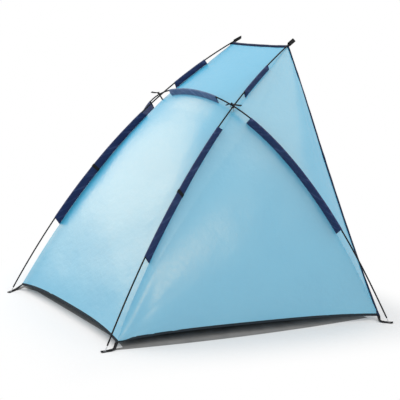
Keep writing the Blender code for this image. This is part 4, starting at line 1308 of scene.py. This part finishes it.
def make_groundsheet():
    """A dark sheet that lies on the ground in low waves, with a tongue at each rear corner."""
    towards = tab_direction(tent.rear, tent.rear_corner, rear_tab_turn)
    back = eyelet_place(tent.rear) + towards * (tab_inner_reach + rod_gap)
    front = np.array([sheet_front_spacing / 2, sheet_front_setback, 0])
    pulled = np.array([back[0] * sheet_back_corner_share, back[1] - sheet_back_pull, 0])
    tongue = back + np.array([towards[1], -towards[0], 0]) * sheet_tongue_width
    middle = pulled * np.array([0, 1, 1])
    edge = np.array([middle, pulled, tongue + towards * sheet_tongue_length, tongue, back])
    columns, rows = 161, 91
    u, v = np.linspace(-1, 1, columns)[:, None], np.linspace(0, 1, rows)[None]
    behind = read(np.abs(u[:, 0]), (0, 0.72, 0.84, 0.97, 1), edge)
    x = np.sign(u) * behind[:, :1] * (1 - v) + u * (front[0] * v + sheet_side_bulge * 4 * v * (1 - v))
    y = behind[:, 1:2] * (1 - v) + (front[1] + sheet_front_bow * (1 - u**2)) * v
    depth = back[1] - front[1]
    half = back[0] + (front[0] - back[0]) * v
    rim = np.minimum.reduce(np.broadcast_arrays(half - np.abs(x), depth * v, depth * (1 - v)))
    rim = np.maximum(rim, 0)
    waves = (sheet_broad_wave, sheet_small_wave, sheet_rim_wave)
    broad, small, by_rim = (np.abs(noise(x, y, wide, 500 + i)) * high for i, (wide, high) in enumerate(waves))
    z = sheet_rest_height + (broad + small) * edge_fade(rim, 0.05)
    z = z + by_rim * np.exp(-rim / 0.03) * edge_fade(rim, 0.01)
    x, y, z = np.broadcast_arrays(x, y, z)
    points = np.stack([x, y, z], axis=-1)
    strip = np.stack([x, rim], axis=-1)
    piece = add_piece("groundsheet_cloth", points, grid_faces(columns, rows), ground_cloth, strip=strip)
    thicken(piece, cloth_thickness)
    finish(piece, "tent", "groundsheet")


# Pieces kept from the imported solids


def dress_hidden_pieces():
    for node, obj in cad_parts.items():
        if node.startswith("spigot"):
            obj.material_slots[0].material = steel
        if node.startswith("shock_cord"):
            obj.material_slots[0].material = elastic


# Studio


def seen_directly(nodes):
    """1 on what the camera sees, also in a reflection or through glass, else 0."""
    paths = nodes.node("ShaderNodeLightPath").outputs
    seen = nodes.math("MAXIMUM", paths["Is Camera Ray"], paths["Is Glossy Ray"])
    return nodes.math("MAXIMUM", seen, paths["Is Transmission Ray"])


def make_floor():
    """A pale floor that takes the tent's shadow, and away from the tent is as white as the world."""
    paint = Shader("floor_paint", Roughness=0.9, Specular_IOR_Level=0.0, Emission_Color=colour(1, 1, 1))
    seen = seen_directly(paint)
    split = paint.node("ShaderNodeSeparateXYZ", {"Vector": paint.place()})
    x, y = split.outputs["X"], split.outputs["Y"]
    lean = (front_feet_spacing - rear_feet_spacing) / 2 / feet_depth
    edge = paint.math("MULTIPLY_ADD", y, lean, -front_feet_spacing / 2 - lean * depth_shift)
    beside = paint.math("ADD", paint.math("ABSOLUTE", x), edge)
    off_middle = paint.math("ABSOLUTE", paint.math("SUBTRACT", y, depth_shift + feet_depth / 2))
    away = paint.math("MAXIMUM", beside, paint.math("SUBTRACT", off_middle, feet_depth / 2))
    fade = paint.spread(away, 0.02, floor_fade, 0.0, 1.0)
    fade.node.interpolation_type = "SMOOTHSTEP"
    plain = paint.mix(seen, colour(0.75, 0.75, 0.75), colour(0.78, 0.78, 0.78))
    glow = paint.math("MULTIPLY", seen, fade)
    paint.set(Base_Color=paint.mix(glow, plain, colour(0, 0, 0)), Emission_Strength=glow)
    bpy.ops.mesh.primitive_plane_add(size=floor_size)
    floor = bpy.context.object
    floor.name = "studio_floor"
    floor.data.materials.append(paint.material)


def make_world():
    """Even light from all round, seen as white."""
    world = bpy.data.worlds.new("studio_world")
    world.use_nodes = True
    bpy.context.scene.world = world
    nodes = Nodes(world.node_tree)
    background = nodes.tree.nodes["Background"]
    nodes.feed(background.inputs["Color"], colour(1, 1, 1))
    strength = nodes.spread(seen_directly(nodes), 0.0, 1.0, ambient_strength, 1.0)
    nodes.feed(background.inputs["Strength"], strength)


def make_lamps():
    """Three soft boxes round the tent.

    The key is beyond it, high on the picture's left, and its sheen lies on the back wall. The
    fill is above the front side. The near one is weak, and shows the folds beside the corner.
    """
    middle = np.array([0, depth_shift + lamps_depth, lamps_height])
    for name, (towards, distance), size, power in (
        ("key", key_place, key_size, key_power),
        ("fill", fill_place, fill_size, fill_power),
        ("near", near_place, near_size, near_power),
    ):
        data = bpy.data.lights.new(name, "AREA")
        data.shape = "SQUARE"
        data.size = size
        data.energy = power
        lamp = bpy.data.objects.new(name, data)
        bpy.context.collection.objects.link(lamp)
        place = middle + unit(towards) * distance
        lamp.location = place
        lamp.rotation_euler = (Vector(middle) - Vector(place)).to_track_quat("-Z", "Y").to_euler()


def make_camera():
    a, e = math.radians(camera_azimuth), math.radians(camera_elevation)
    ahead = Vector((-math.sin(a) * math.cos(e), math.cos(a) * math.cos(e), -math.sin(e)))
    data = bpy.data.cameras.new("photo_camera")
    data.sensor_width = camera_sensor
    data.lens = camera_lens
    camera = bpy.data.objects.new("photo_camera", data)
    bpy.context.collection.objects.link(camera)
    camera.location = packed(camera_place)
    camera.rotation_euler = ahead.to_track_quat("-Z", "Y").to_euler()
    bpy.context.scene.camera = camera


def main():
    bpy.context.scene.view_settings.view_transform = "Standard"
    make_camera()
    make_floor()
    make_world()
    make_lamps()
    make_poles()
    edges = make_canopy()
    make_tapes(edges)
    make_sleeves()
    make_corners()
    for word, side in SIDES:
        make_pocket(f"tip_pocket_{word}", f"{word}_tip_pocket", side)
        make_tie(f"crossing_tie_{word}", side)
    make_groundsheet()
    dress_hidden_pieces()


main()
